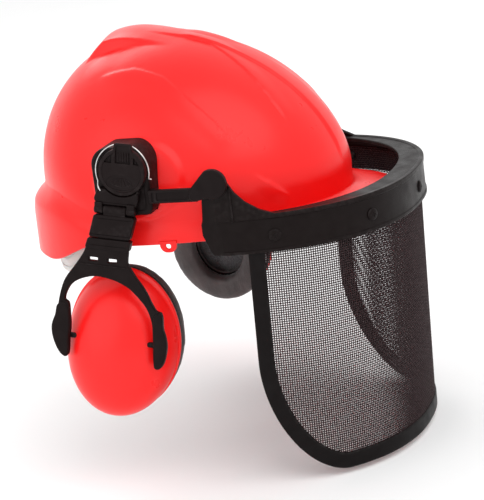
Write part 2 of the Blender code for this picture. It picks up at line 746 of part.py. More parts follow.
class Plan:
    """The visor's outline in plan, by arc length in mm from the middle of the front."""

    def __init__(self):
        turns = np.linspace(-math.pi / 2, math.pi / 2, 1441)
        c, s = np.cos(turns), np.sin(turns)
        across = VISOR_HALF_WIDTH * np.sign(s) * np.abs(s) ** (2 / VISOR_POWER)
        ahead = VISOR_CENTRE + VISOR_REACH * np.abs(c) ** (2 / VISOR_POWER)
        steps = np.hypot(np.diff(across), np.diff(ahead))
        arc = np.concatenate([[0], np.cumsum(steps)])
        self.arc = arc - arc[-1] / 2
        self.half = arc[-1] / 2
        self.across, self.ahead = across, ahead

    def spot(self, arc):
        return np.array([np.interp(arc, self.arc, self.across),
                         np.interp(arc, self.arc, self.ahead)])

    def point(self, arc, level, out=0.0):
        """Point at an arc length, a height and a distance outwards, all mm."""
        along = self.spot(min(arc + 1, self.half)) - self.spot(max(arc - 1, -self.half))
        along /= np.hypot(*along)
        across, ahead = self.spot(arc) + out * np.array([-along[1], along[0]])
        return Vector((across, -ahead, level)) * MM


PLAN = Plan()


def ear_top(ahead):
    """Height of the visor band's upper edge at a distance forward, mm: ear, web, band."""
    marks = (VISOR_CENTRE - 0.01, 46.5, 47, 49, 52.5, 57, 61, 64, 66, 70, 77, 86, 96)
    tops = (16, 21, 40, 51, 54.8, 56, 54.8, 51.5, 46, 39, 31.5, 25.5, BAND_TOP + 0.6)
    return float(np.interp(ahead, marks, tops))


def band_foot(ahead):
    return float(np.interp(ahead, (VISOR_CENTRE, 47, 50), (3, -4, BAND_BOTTOM)))


def band_section(arc):
    """Wall with an inward lip, at one place along the band."""
    ahead = PLAN.spot(arc)[1]
    top, foot = ear_top(ahead), band_foot(ahead)
    lip_top = min(BAND_TOP, top - 0.6)
    share = max(0.0, (ahead - LIP_START) / (VISOR_CENTRE + VISOR_REACH - LIP_START))
    lip = BAND_WALL + 0.3 + LIP_DEPTH * share ** 0.8
    outline = ((0, foot), (0, top), (-BAND_WALL, top), (-BAND_WALL, lip_top),
               (-lip, lip_top), (-lip, lip_top - 3), (-BAND_WALL, lip_top - 3),
               (-BAND_WALL, foot))
    return [PLAN.point(arc, level, out) for out, level in outline]


def build_visor_frame(parent):
    ends = [PLAN.half - gap for gap in (0, 1.2, 3, 3.6, 5.6, 9, 13.5, 17.7, 20.7, 22.8,
                                        26.8, 34, 43, 53)]
    middle = list(np.linspace(-PLAN.half + 62, PLAN.half - 62, 33))
    arcs = [-end for end in ends] + middle + list(reversed(ends))
    frame = add("visor_frame", loft_mesh([band_section(arc) for arc in arcs]), parent, BLACK)
    boolean(frame, cut_rod("visor_ear_bores", parent, 3.3 * MM, 300 * MM,
                           (0, -VISOR_PIVOT_FORWARD, VISOR_PIVOT_HEIGHT), sides=20))
    return smooth(frame)


def sheet_point(arc, level, out=0.0):
    """A point at the sheet's middle plus out, mm: the sheet rakes back as it drops."""
    spot = PLAN.point(arc, level, out - SHEET_INSET)
    spot.y += (STUD_HEIGHT - level) * SHEET_RAKE * MM
    return spot


def sheet_foot(arc):
    over = (abs(arc) - (SHEET_HALF_ARC - CORNER_WIDTH)) / CORNER_WIDTH
    if over <= 0:
        return SHEET_BOTTOM
    over = min(over, 1.0)
    fall = (1 - over ** CORNER_POWER) ** (1 / CORNER_POWER)
    return SHEET_BOTTOM + CORNER_HEIGHT * (1 - fall)


def sheet_arcs():
    """Places along the sheet, closer together where the corner turns up."""
    flat = SHEET_HALF_ARC - CORNER_WIDTH
    corner = [flat + CORNER_WIDTH * math.sin(math.radians(a)) for a in range(0, 91, 10)]
    middle = list(np.linspace(-flat, flat, 21))[1:-1]
    return [-arc for arc in reversed(corner)] + middle + corner


def build_visor_mesh(parent):
    half = SHEET_THICKNESS / 2
    rings = []
    for arc in sheet_arcs():
        foot = sheet_foot(arc)
        rings.append([sheet_point(arc, level, out) for out, level in
                      ((half, foot), (half, SHEET_TOP), (-half, SHEET_TOP), (-half, foot))])
    return smooth(add("visor_mesh", loft_mesh(rings), parent, MESH_BLACK))


def trim_path():
    """(arc, level, inward direction) round the sheet's lower edge, end to end."""
    path = []
    side_top = BAND_BOTTOM - 0.5
    side_foot = SHEET_BOTTOM + CORNER_HEIGHT
    arcs = sheet_arcs()
    points = [(arcs[0], level) for level in np.linspace(side_top, side_foot, 5)[:-1]]
    points += [(arc, sheet_foot(arc)) for arc in arcs]
    points += [(arcs[-1], level) for level in np.linspace(side_foot, side_top, 5)[1:]]
    for i, (arc, level) in enumerate(points):
        before = np.array(points[max(i - 1, 0)])
        after = np.array(points[min(i + 1, len(points) - 1)])
        along = after - before
        along /= np.hypot(*along)
        path.append((arc, level, (-along[1], along[0])))
    return path


def build_visor_trim(parent):
    """Edge binding: a U section whose groove holds the sheet."""
    slot = SHEET_THICKNESS / 2 + 0.3
    section = ((-2, -TRIM_HALF_THICKNESS), (-2, TRIM_HALF_THICKNESS),
               (TRIM_WIDTH, TRIM_HALF_THICKNESS), (TRIM_WIDTH, slot), (-0.3, slot),
               (-0.3, -slot), (TRIM_WIDTH, -slot), (TRIM_WIDTH, -TRIM_HALF_THICKNESS))
    rings = []
    for arc, level, (inward, up) in trim_path():
        rings.append([sheet_point(arc + inward * a, level + up * a, b) for a, b in section])
    return smooth(add("visor_trim", loft_mesh(rings), parent, BLACK))


def build_visor_studs(parent, frame, sheet):
    """Snap studs that hold the sheet inside the band, each through a bore in both."""
    for k, arc in enumerate(STUD_ARCS):
        spot = PLAN.point(arc, STUD_HEIGHT)
        way = PLAN.point(arc, STUD_HEIGHT, 1.0) - spot
        turn = way.to_track_quat("Z", "Y").to_euler()
        bore = cut_rod(f"stud_bore_{k}", parent, 2.4 * MM, 16 * MM, spot,
                       (way.to_track_quat("X", "Z")).to_euler(), 16)
        boolean(frame, bore)
        boolean(sheet, bore)
        back = -(SHEET_INSET + SHEET_THICKNESS / 2) * MM - GAP
        profile = ((0, 1.7 * MM), (3.6 * MM, 1.5 * MM), (4.5 * MM, GAP), (2 * MM, GAP),
                   (2 * MM, back), (3.6 * MM, back), (2.4 * MM, back - 1.6 * MM),
                   (0, back - 1.6 * MM))
        smooth(turned(f"visor_stud_{k + 1}", profile, parent, BLACK, spot, turn, 16))


def build_visor_link(name, side, parent):
    """Bar from the adapter with the teardrop boss that carries the visor pivot."""
    pivot_f, pivot_z = VISOR_PIVOT_FORWARD, VISOR_PIVOT_HEIGHT
    radius = 10.6 * MM
    sweep = np.radians(np.linspace(-112, 118, 17))
    drop = [Vector((pivot_f + radius * math.cos(a), pivot_z + radius * math.sin(a)))
            for a in sweep]
    tail = [Vector((41.5 * MM, 45 * MM)), Vector((39 * MM, 38.5 * MM)),
            Vector((41.5 * MM, 35.4 * MM))]
    link = add(f"visor_link_{name}", plate_mesh(drop + tail, LINK_THICKNESS), parent, BLACK,
               (side * LINK_OUT, 0, 0))
    bevel(link, 0.8 * MM)
    start = ADAPTER_FRONT + GAP
    bar = cut_box(f"link_bar_{name}", parent, (4.4 * MM, 44 * MM - start, 9.5 * MM),
                  (side * (LINK_OUT - 0.3 * MM), -(start + 44 * MM) / 2, 40 * MM))
    heel = cut_box(f"link_heel_{name}", parent, (11 * MM, 9 * MM, 9.5 * MM),
                   (side * 121 * MM, -start - 4.5 * MM, 40 * MM))
    boolean(link, bar, "UNION")
    boolean(link, heel, "UNION")
    boolean(link, cut_rod(f"link_bore_{name}", parent, 3.3 * MM, 20 * MM,
                          (side * LINK_OUT, -pivot_f, pivot_z), sides=20))
    return smooth(link)


def build_visor_pin(name, side, parent):
    """Pivot pin with a flat head inside the visor's ear."""
    inner = 117.9 * MM
    outer = LINK_OUT + LINK_THICKNESS / 2 - 0.5 * MM
    profile = ((0, outer), (3 * MM, outer), (3 * MM, inner - GAP), (5 * MM, inner - GAP),
               (5 * MM, inner - 1.6 * MM), (0, inner - 1.6 * MM))
    return smooth(turned(f"visor_pin_{name}", profile, parent, BLACK,
                         (0, -VISOR_PIVOT_FORWARD, VISOR_PIVOT_HEIGHT),
                         (0, side * math.pi / 2, 0), 16))


# --- Harness ----------------------------------------------------------------------------


def band_plan(forward_end, half_width, front, out=0.0, sides=31):
    """Plan points of the headband, from one side end round the front to the other."""
    bend = 20
    points = [(-half_width - out, forward_end), (-half_width - out, (forward_end + bend) / 2)]
    for angle in np.radians(np.linspace(180, 0, sides)):
        c, s = math.cos(angle), math.sin(angle)
        points.append(((half_width + out) * math.copysign(abs(c) ** 0.9, c),
                       bend + (front + out - bend) * abs(s) ** 0.9))
    points += [(half_width + out, (forward_end + bend) / 2), (half_width + out, forward_end)]
    return points


def ribbon_rings(inner, outer, levels):
    """Rectangular sections between two plan lines, each with its own low and high."""
    rings = []
    for (xa, fa), (xb, fb), (low, high) in zip(inner, outer, levels):
        rings.append([Vector((xb, -fb, low)) * MM, Vector((xb, -fb, high)) * MM,
                      Vector((xa, -fa, high)) * MM, Vector((xa, -fa, low)) * MM])
    return rings


def build_headband(parent):
    inner = band_plan(BAND_SIDE_END, BAND_HALF_WIDTH, BAND_FRONT)
    outer = band_plan(BAND_SIDE_END, BAND_HALF_WIDTH, BAND_FRONT, 1.6)
    levels = [HEADBAND_LEVELS] * len(inner)
    return smooth(add("headband", loft_mesh(ribbon_rings(inner, outer, levels)), parent,
                      HARNESS))


def build_sweatband(parent):
    """Soft strip inside the front of the headband."""
    outer = band_plan(0, BAND_HALF_WIDTH, BAND_FRONT, -0.4)[6:-6]
    inner = band_plan(0, BAND_HALF_WIDTH, BAND_FRONT, -3.6)[6:-6]
    low, high = HEADBAND_LEVELS
    levels = [(low + 1, high - 1)] * len(inner)
    return smooth(add("sweatband", loft_mesh(ribbon_rings(inner, outer, levels)), parent,
                      FOAM))


def nape_plan(out=0.0, sides=23):
    half, bend = BAND_HALF_WIDTH + 2.2 + out, -48
    points = [(-half, -14), (-half, -30)]
    for angle in np.radians(np.linspace(180, 360, sides)):
        c, s = math.cos(angle), math.sin(angle)
        points.append((half * math.copysign(abs(c) ** 0.87, c),
                       bend + (NAPE_REAR - out - bend) * abs(s) ** 0.87))
    return points + [(half, -30), (half, -14)]


def build_nape_strap(parent):
    """U strap outside the headband's tails, dropping low behind the head."""
    inner, outer = nape_plan(), nape_plan(1.5)
    levels = []
    for _, forward in inner:
        drop = 1 - smoothstep(-88, -45, forward)
        levels.append((-1 - 29 * drop, 20 - 24 * drop))
    return smooth(add("nape_strap", loft_mesh(ribbon_rings(inner, outer, levels)), parent,
                      HARNESS))


def build_ratchet(nape, knob):
    """Housing on the nape strap with a pinion inside and the knob behind."""
    strap_back = (-NAPE_REAR + 1.5) * MM + GAP
    depth, height = HOUSING_DEPTH, KNOB_HEIGHT
    corners = ((-27, -33, 5), (27, -33, 5), (24, -9, 5), (-24, -9, 5))
    outline = rounded([(x * MM, z * MM, r * MM) for x, z, r in corners], 4)
    housing = add("ratchet_housing", plate_mesh(outline, depth, CROSSWISE), nape, HARNESS,
                  (0, strap_back + depth / 2, 0))
    bevel(housing, 1 * MM)
    boolean(housing, cut_rod("pinion_well", nape, 7.4 * MM, 8 * MM,
                             (0, strap_back, height), QUARTER_TURN, 24))
    boolean(housing, cut_rod("pinion_bore", nape, 3.3 * MM, 40 * MM,
                             (0, strap_back, height), QUARTER_TURN, 20))
    teeth = []
    for k in range(48):
        radius = 6.8 if k % 4 in (1, 2) else 5.6
        angle = 2 * math.pi * k / 48
        teeth.append(Vector((radius * math.cos(angle), radius * math.sin(angle))) * MM)
    pinion = add("ratchet_pinion", plate_mesh(teeth, 3 * MM, CROSSWISE), knob, HARNESS,
                 (0, strap_back + 2 * MM, 0))
    shaft_end = strap_back + depth + 4 * MM
    boolean(pinion, add("pinion_shaft", rod_mesh(3 * MM, shaft_end - strap_back - 1 * MM),
                        knob, None, (0, (shaft_end + strap_back + 1 * MM) / 2, 0),
                        QUARTER_TURN, cutter=True), "UNION")
    smooth(pinion)
    grips = []
    for k in range(36):
        radius = KNOB_RADIUS - (1.1 * MM if k % 3 == 0 else 0)
        angle = 2 * math.pi * k / 36
        grips.append(Vector((radius * math.cos(angle), radius * math.sin(angle))))
    dial = add("ratchet_knob", plate_mesh(grips, KNOB_DEPTH, CROSSWISE), knob, BLACK,
               (0, strap_back + depth + GAP + KNOB_DEPTH / 2, 0))
    bevel(dial, 0.8 * MM)
    boolean(dial, cut_rod("knob_bore", knob, 3.3 * MM, 9 * MM,
                          (0, strap_back + depth, 0), QUARTER_TURN, 16))
    smooth(dial)


def strap_arch(azimuth, lift, count=25):
    """Centre line of a crown strap: (radius outwards, level), from end to end, mm."""
    side = abs(math.cos(math.radians(azimuth)))
    reach = 81 + (1 - side) * 10
    top = 110 + lift
    points = []
    for angle in np.radians(np.linspace(0, 180, count)):
        c, s = math.cos(angle), math.sin(angle)
        points.append((reach * math.copysign(abs(c) ** 0.75, c), 30 + (top - 30) * s ** 0.8))
    return points


def build_crown_strap(parent, index, azimuth):
    """Flat webbing over the crown, passing above or below the others where they cross."""
    lift = index * (STRAP_THICKNESS + 0.5)
    across = Vector((math.cos(math.radians(azimuth)), math.sin(math.radians(azimuth)), 0))
    wide = Vector((-across.y, across.x, 0)) * STRAP_WIDTH / 2
    middle = Vector((0, STRAP_CENTRE_BACK, 0))
    line = strap_arch(azimuth, lift)
    rings = []
    for k, (reach, level) in enumerate(line):
        before, after = line[max(k - 1, 0)], line[min(k + 1, len(line) - 1)]
        slope = Vector((after[0] - before[0], after[1] - before[1])).normalized()
        up = (across * slope.y - Vector((0, 0, slope.x))) * STRAP_THICKNESS / 2
        spot = middle + across * reach + Vector((0, 0, level))
        rings.append([(spot + a * wide + b * up) * MM
                      for a, b in ((-1, -1), (1, -1), (1, 1), (-1, 1))])
    name = ("across", "front_left", "front_right")[index]
    return smooth(add(f"crown_strap_{name}", loft_mesh(rings), parent, WEBBING))


def build_harness_clips(parent, room):
    """Six clips between the strap ends and the shell, trimmed to the shell's inside."""
    for index, azimuth in enumerate(STRAP_AZIMUTHS):
        for end, way in (("a", 1), ("b", -1)):
            turn = math.radians(azimuth) + (0 if way > 0 else math.pi)
            reach = strap_arch(azimuth, 0)[0][0] + 1.2
            length = 45
            across = Vector((math.cos(turn), math.sin(turn), 0))
            spot = (Vector((0, STRAP_CENTRE_BACK, 36)) + across * (reach + length / 2)) * MM
            clip = add(f"harness_clip_{index + 1}{end}",
                       box_mesh((length * MM, 16 * MM, 12 * MM)), parent, HARNESS, spot,
                       (0, 0, turn))
            boolean(clip, room, "INTERSECT")


def build_crown_pad(parent):
    """Padded disc under the straps; its flat underside rests on the head."""
    top = HEAD_REST + CROWN_PAD_THICKNESS
    profile = ((0, top), (30 * MM, top), (36 * MM, top - 1.5 * MM),
               (37 * MM, HEAD_REST + 1.5 * MM), (35.5 * MM, HEAD_REST), (0, HEAD_REST))
    return smooth(turned("crown_pad", profile, parent, FOAM, (0, 0, 0), (0, 0, 0), 32))


# --- Assembly ---------------------------------------------------------------------------

helmet = empty("helmet_frame", None, (0, 0, -HEAD_REST))
build_shell(helmet)
dome_clearance = add("dome_clearance", shell_surface(0.7, closed=True), helmet, cutter=True)
shell_room = add("shell_room", shell_surface(-3.6, first=2, closed=True), helmet, cutter=True)

for side_name, side_way in SIDES.items():
    build_side(side_name, side_way, helmet, dome_clearance)
    build_visor_link(side_name, side_way, helmet)
    build_visor_pin(side_name, side_way, helmet)

visor_swing = empty("visor_swing", helmet, (0, -VISOR_PIVOT_FORWARD, VISOR_PIVOT_HEIGHT))
visor = empty("visor", visor_swing, (0, VISOR_PIVOT_FORWARD, -VISOR_PIVOT_HEIGHT))
visor_frame = build_visor_frame(visor)
visor_sheet = build_visor_mesh(visor)
build_visor_trim(visor)
build_visor_studs(visor, visor_frame, visor_sheet)

build_headband(helmet)
build_sweatband(helmet)
nape_slide = empty("nape_slide", helmet)
build_nape_strap(nape_slide)
knob_turn = empty("knob_turn", nape_slide, (0, 0, KNOB_HEIGHT))
build_ratchet(nape_slide, knob_turn)
for strap_index, strap_azimuth in enumerate(STRAP_AZIMUTHS):
    build_crown_strap(helmet, strap_index, strap_azimuth)
build_harness_clips(helmet, shell_room)
build_crown_pad(helmet)
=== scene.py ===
"""Looks of the forestry helmet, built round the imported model.

Shapes are worked out in millimetres and placed by a matrix that also scales them to metres.
RIM is the helmet's own frame: its origin lies in the plane of the shell's side rims, +X to the
wearer's left, -Y to the front. Each arm, fork and cup has a frame of its own, taken from the
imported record's joints.
"""

import json
import math

import bmesh
import bpy
import numpy as np
from mathutils import Matrix, Vector


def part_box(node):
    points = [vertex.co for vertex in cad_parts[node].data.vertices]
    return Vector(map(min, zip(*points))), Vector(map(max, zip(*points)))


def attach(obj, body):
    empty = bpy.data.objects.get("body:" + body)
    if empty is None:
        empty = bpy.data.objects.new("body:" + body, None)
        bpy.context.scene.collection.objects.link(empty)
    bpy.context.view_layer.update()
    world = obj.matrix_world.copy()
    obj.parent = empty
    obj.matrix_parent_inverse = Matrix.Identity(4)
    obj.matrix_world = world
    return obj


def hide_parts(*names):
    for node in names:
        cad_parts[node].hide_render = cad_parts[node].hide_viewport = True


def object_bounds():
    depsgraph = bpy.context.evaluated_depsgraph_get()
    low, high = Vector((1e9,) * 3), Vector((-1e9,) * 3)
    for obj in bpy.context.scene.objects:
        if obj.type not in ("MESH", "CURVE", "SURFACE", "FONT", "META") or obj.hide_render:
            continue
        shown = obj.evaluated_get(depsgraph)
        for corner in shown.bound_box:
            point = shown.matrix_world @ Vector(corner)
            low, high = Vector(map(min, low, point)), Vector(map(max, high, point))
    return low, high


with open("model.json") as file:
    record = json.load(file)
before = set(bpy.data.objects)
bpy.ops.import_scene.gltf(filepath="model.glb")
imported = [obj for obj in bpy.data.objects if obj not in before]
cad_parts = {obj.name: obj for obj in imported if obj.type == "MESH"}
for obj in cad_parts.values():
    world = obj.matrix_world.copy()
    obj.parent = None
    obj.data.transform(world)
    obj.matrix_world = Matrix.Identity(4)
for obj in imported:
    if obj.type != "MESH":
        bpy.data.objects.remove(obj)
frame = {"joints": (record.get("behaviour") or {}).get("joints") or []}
CAD_BOX = [list(corner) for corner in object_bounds()]

MM = 0.001
SIDES = {"right": -1, "left": 1}
SKIRT_DROP = 16
RIM_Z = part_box("shell")[0].z + SKIRT_DROP * MM
RIM = Matrix.Translation((0, 0, RIM_Z)) @ Matrix.Scale(MM, 4)
JOINTS = {joint["name"]: joint for joint in frame["joints"]}

# Shell. Each lower ring: front, rear, half width, then heights at front, side and rear.
DOME_CENTRE = -18
DOME_TOP = 135
DOME_FRONT_POWER = 1.77
DOME_REAR_POWER = 2.12
DOME_FOOT = (120, 114, 104, 24, 24, 36)
RIM_RINGS = (
    (160, 128, 107, 3, 0, -16),
    (145, 127.6, 106.5, 4.5, 6, 0),
    (130, 127, 106, 5.5, 10, 19),
    (124, 123.5, 105.6, 6.5, 12, 25),
    (119.5, 117, 105.2, 9, 14, 30),
    (119.5, 115, 104.6, 14, 18, 33),
)
SHELL_WALL = 3
HUMP_HEIGHT = 7.5
HUMP_REAR = -66
HUMP_RAMP = 18
HUMP_HALF_WIDTH = 30
RIDGE_HEIGHT = 1.6
RIDGE_HALF_WIDTH = 12
PAD_HEIGHT = 2.2
PAD_CENTRE = (-8, 46)
PAD_REACH = (36, 30)
CHIN_TAB_FORWARD = 11

# Side hardware.
ADAPTER_FACE = 121
ADAPTER_BACK, ADAPTER_FRONT = -33, 9
ADAPTER_BASE, ADAPTER_TOP = 25.5, 75.5
PIVOT_FORWARD, PIVOT_HEIGHT = -8.6, 58.4
SLOT_FORWARD, SLOT_LEVEL = -7.6, 27
ARM_OUT = 125.5
ARM_HALF_WIDTH = 15.5
ARM_SET_BACK, HINGE_AHEAD, FLIP_DROP = -6.1, 1.6, 28
SLEEVE_LEVELS, SLEEVE_SLANT = (-48.2, -31.6), 1.9
DISC_RADIUS = 17.3
WIRE_ARC_RADIUS = 19.9
LINK_OUT = 125.2
ADAPTER_GAP = 0.7

# Muffs, in each cup's frame.
TILT_DROP, TILT_OUT = 125.7, 121
CUP_DROP = 131.7
CUP_LEVEL = TILT_DROP - CUP_DROP
CUP_SIDES, CUP_WALL = 128, 2.5
CUP_HALF_WIDTH, CUP_HALF_HEIGHT = 42, 53
CUP_RIM, CUP_DEPTH = 96, 36
CUP_FACE_DROP, CUP_FACE_BACK = 14, 1.5
CUP_DOME_POWER = 2.2
CUP_TILT = {"right": 0.0, "left": math.radians(8)}
# Ear cushion: its middle and half thickness outwards, the middle and half width of its padding
# across and up, and how squared-off the padding is.
CUSHION = (84.2, 6.6, 31.5, 10.4, 42.5, 11, 0.62)

# Visor.
VISOR_PIVOT = (57, 47)
VISOR_CENTRE, VISOR_HALF_WIDTH, VISOR_REACH, VISOR_POWER = 44, 122, 128, 2.27
BAND_WALL, BAND_TOP, BAND_BOTTOM = 3, 21, -6
LIP_DEPTH, LIP_START = 15.2, 66
SHEET_INSET, SHEET_HALF_ARC, SHEET_BOTTOM, SHEET_TOP = 3.9, 168.5, -175.4, 14
SHEET_RAKE = 6 / 175
CORNER_WIDTH, CORNER_HEIGHT, CORNER_POWER = 61, 87, 1.8
WIRE_PITCH, WIRE_GAUGE = 1.7, 0.4
TRIM_WIDTH, TRIM_HALF_THICKNESS = 10, 1.8
STUD_ARCS, STUD_HEIGHT = (-150, -75, 0, 75, 150), 6

# Harness.
BAND_HALF_WIDTH, BAND_FRONT = 78, 97
HEADBAND_LEVELS = (-4, 26)
NAPE_REAR = -107
STRAP_AZIMUTHS = {"across": 0, "front_left": 60, "front_right": -60}
STRAP_CENTRE_BACK = 4
STRAP_WIDTH, STRAP_THICKNESS = 20, 1.2
KNOB_HEIGHT = -21
HEAD_REST = 98


# --- Materials ---


class Look:
    """A Principled material whose colour, roughness and bump come from procedural nodes."""

    def __init__(self, name, colour, roughness, **inputs):
        self.material = bpy.data.materials.new(name)
        self.material.use_nodes = True
        self.tree = self.material.node_tree
        self.inputs = self.tree.nodes["Principled BSDF"].inputs
        inputs |= {"Base Color": (*colour, 1), "Roughness": roughness}
        for key, value in inputs.items():
            self.inputs[key.replace("_", " ")].default_value = value
        self.place = self.node("TexCoord", "Object", {})

    def node(self, kind, output, inputs, **settings):
        """The output of a new node, whose inputs are values or other nodes' outputs."""
        node = self.tree.nodes.new("ShaderNode" + kind)
        for key, value in settings.items():
            setattr(node, key, value)
        for key, value in inputs.items():
            if isinstance(value, bpy.types.NodeSocket):
                self.tree.links.new(value, node.inputs[key])
            else:
                node.inputs[key].default_value = value
        return node.outputs[output]

    def noise(self, scale, detail=3.0, stretch=None):
        place = self.place
        if stretch:
            place = self.node("Mapping", "Vector", {"Scale": stretch, "Vector": place})
        return self.node("TexNoise", "Fac", {"Scale": scale, "Detail": detail, "Vector": place})

    def cells(self, scale, feature="F1"):
        return self.node("TexVoronoi", "Distance", {"Scale": scale, "Vector": self.place},
                         feature=feature)

    def bands(self, scale, axis):
        return self.node("TexWave", "Fac", {"Scale": scale, "Vector": self.place},
                         bands_direction=axis)

    def ramp(self, source, low, high, start=0.0, end=1.0):
        return self.node("MapRange", "Result", {"Value": source, "From Min": low,
                                                "From Max": high, "To Min": start, "To Max": end})

    def drift(self, scale, detail, low, high, start=0.0, end=1.0, stretch=None):
        """Noise whose values from low to high become start to end."""
        return self.ramp(self.noise(scale, detail, stretch), low, high, start, end)

    def maths(self, operation, first, second):
        return self.node("Math", "Value", {0: first, 1: second}, operation=operation)

    def bump(self, height, distance):
        inputs, normal = {"Distance": distance, "Height": height}, self.inputs["Normal"]
        if normal.is_linked:
            inputs["Normal"] = normal.links[0].from_socket
        self.tree.links.new(self.node("Bump", "Normal", inputs), normal)

    def colour(self, share, first, second):
        """A colour from first to second as share goes from 0 to 1."""
        inputs = {"Factor": share, 6: (*first, 1), 7: (*second, 1)}
        mix = self.node("Mix", 2, inputs, data_type="RGBA")
        self.tree.links.new(mix, self.inputs["Base Color"])

    def dress(self, share, first, second, rough, *bumps):
        """Joins up the colour, the roughness and (height, distance) bumps."""
        self.colour(share, first, second)
        self.tree.links.new(rough, self.inputs["Roughness"])
        for height, distance in bumps:
            self.bump(height, distance)
        return self


def red_plastic(name, deep, bright):
    """Glossy moulded shell: slow colour drift, orange-peel surface, fine scuffs."""
    look = Look(name, deep, 0.3, Subsurface_Weight=0.12, Subsurface_Scale=0.004,
                Subsurface_Radius=(1.0, 0.15, 0.1), Coat_Weight=0.1, Coat_Roughness=0.2,
                Specular_IOR_Level=0.3)
    scuffs = look.drift(420, 6, 0.58, 0.74, stretch=(1, 1, 0.15))
    rough = look.maths("ADD", look.drift(45, 4, 0.3, 0.75, 0.27, 0.36),
                       look.maths("MULTIPLY", scuffs, 0.05))
    return look.dress(look.drift(9, 2, 0.3, 0.7), deep, bright, rough,
                      (look.noise(700, 2), 0.00004), (look.noise(60, 2), 0.00022))


def black_plastic(name, colour, roughness, grain=0.00005):
    """Spark-eroded moulding grain, with convex edges painted lighter as a painted highlight."""
    look = Look(name, colour, roughness, Specular_IOR_Level=0.1)
    convex = look.ramp(look.node("NewGeometry", "Pointiness", {}), 0.52, 0.56)
    # Painted highlight: convex edges, broken up by noise, are painted lighter as if they caught the
    # light.
    edge_highlight = look.maths("MULTIPLY", convex, look.drift(300, 4, 0.4, 0.7))
    mottled = look.maths("MULTIPLY", look.drift(140, 5, 0.35, 0.75), 0.22)
    # The lighter colour carries both the random mottling and the painted edge highlight.
    return look.dress(look.maths("MAXIMUM", mottled, edge_highlight), colour,
                      tuple(0.009 + 1.5 * part for part in colour),
                      look.drift(90, 4, 0.3, 0.7, roughness - 0.07, roughness + 0.1),
                      (look.noise(2600, 3), grain), (look.noise(220, 2), 0.00008))


def open_foam(name, dark, pale):
    """Open-cell foam: pits at two sizes."""
    look = Look(name, dark, 0.9, Sheen_Weight=0.2)
    pits = look.cells(950)
    return look.dress(look.ramp(pits, 0.1, 0.7), dark, pale,
                      look.drift(200, 3, 0.3, 0.7, 0.82, 0.98),
                      (pits, 0.0006), (look.cells(2300), 0.0002))


RED = red_plastic("shell_red", (0.93, 0.004, 0.004), (1.0, 0.011, 0.01))
CUP_RED = red_plastic("cup_red", (0.92, 0.004, 0.004), (0.98, 0.01, 0.009))
BLACK = black_plastic("arm_black", (0.006, 0.0028, 0.0028), 0.42)
BAND_BLACK = black_plastic("band_black", (0.005, 0.0022, 0.002), 0.36, 0.00004)
DISC_BLACK = black_plastic("disc_black", (0.008, 0.004, 0.004), 0.36)
TRIM_BLACK = black_plastic("trim_black", (0.004, 0.0025, 0.0025), 0.46, 0.00003)
FOAM = open_foam("cup_foam", (0.05, 0.047, 0.05), (0.14, 0.135, 0.14))
SWEAT_FOAM = open_foam("sweat_foam", (0.07, 0.06, 0.055), (0.16, 0.14, 0.13))

# Drawn wire: fine lengthwise scratches and a little tarnish.
BRIGHT = (0.72, 0.71, 0.7)
STEEL = Look("spring_steel", BRIGHT, 0.2, Metallic=1.0)
STEEL.dress(STEEL.drift(160, 5, 0.45, 0.75), BRIGHT, tuple(0.55 * part for part in BRIGHT),
            STEEL.drift(900, 4, 0.3, 0.7, 0.2, 0.4, (1, 1, 6)),
            (STEEL.noise(2500, 2, (1, 1, 8)), 0.00002))

# The mesh's wires, thinly coated.
WIRE = Look("coated_wire", (0.02, 0.009, 0.01), 0.42, Metallic=0.15, Specular_IOR_Level=0.2)
WIRE.dress(WIRE.drift(800, 3, 0.4, 0.7), (0.018, 0.008, 0.009), (0.06, 0.036, 0.038),
           WIRE.drift(1500, 2, 0.3, 0.7, 0.33, 0.55), (WIRE.noise(4000, 2), 0.00002))

# Flexible translucent polyethylene with flow marks.
MILKY = Look("milky_plastic", (0.83, 0.79, 0.75), 0.38, Subsurface_Weight=0.5,
             Subsurface_Scale=0.006, Subsurface_Radius=(1.0, 0.6, 0.5), Transmission_Weight=0.22)
MILKY.dress(MILKY.drift(26, 3, 0.3, 0.7, stretch=(1, 1, 3)), (0.78, 0.73, 0.69),
            (0.9, 0.87, 0.84), MILKY.drift(120, 3, 0.3, 0.7, 0.32, 0.5),
            (MILKY.noise(900, 2), 0.00005))

# Twill-woven polyester: two crossing wave patterns and loose fibres.
WEBBING = Look("webbing", (0.05, 0.05, 0.055), 0.82, Sheen_Weight=0.35)
TWILL = WEBBING.maths("MULTIPLY", WEBBING.bands(260, "DIAGONAL"), WEBBING.bands(190, "Z"))
WEBBING.dress(TWILL, (0.028, 0.028, 0.032), (0.1, 0.1, 0.11),
              WEBBING.drift(300, 3, 0.3, 0.7, 0.72, 0.92),
              (TWILL, 0.0004), (WEBBING.noise(1800, 3), 0.00012))

# Soft foil over foam: pebbled grain, faint creases and a dull sheen.
SKIN = Look("cushion_skin", (0.035, 0.022, 0.022), 0.5, Sheen_Weight=0.25)
SKIN.dress(SKIN.drift(60, 4, 0.3, 0.7), (0.026, 0.017, 0.017), (0.062, 0.043, 0.042),
           SKIN.drift(110, 4, 0.3, 0.75, 0.42, 0.62), (SKIN.cells(1500, "SMOOTH_F1"), 0.00018),
           (SKIN.drift(75, 5, 0.4, 0.6, stretch=(1, 1, 0.3)), 0.0005))

THREAD = Look("thread", (0.5, 0.46, 0.42), 0.7, Sheen_Weight=0.4)
THREAD.bump(THREAD.bands(900, "DIAGONAL"), 0.0002)


# --- Mesh helpers ---


def placed(name, data):
    """A new object of the scene, with this data."""
    made = bpy.data.objects.new(name, data)
    bpy.context.scene.collection.objects.link(made)
    return made


def raw(points, faces):
    """An object with these points and faces, in millimetres."""
    mesh = bpy.data.meshes.new("raw")
    mesh.from_pydata([tuple(map(float, p)) for p in points], [],
                     [tuple(map(int, f)) for f in faces])
    return placed("raw", mesh)


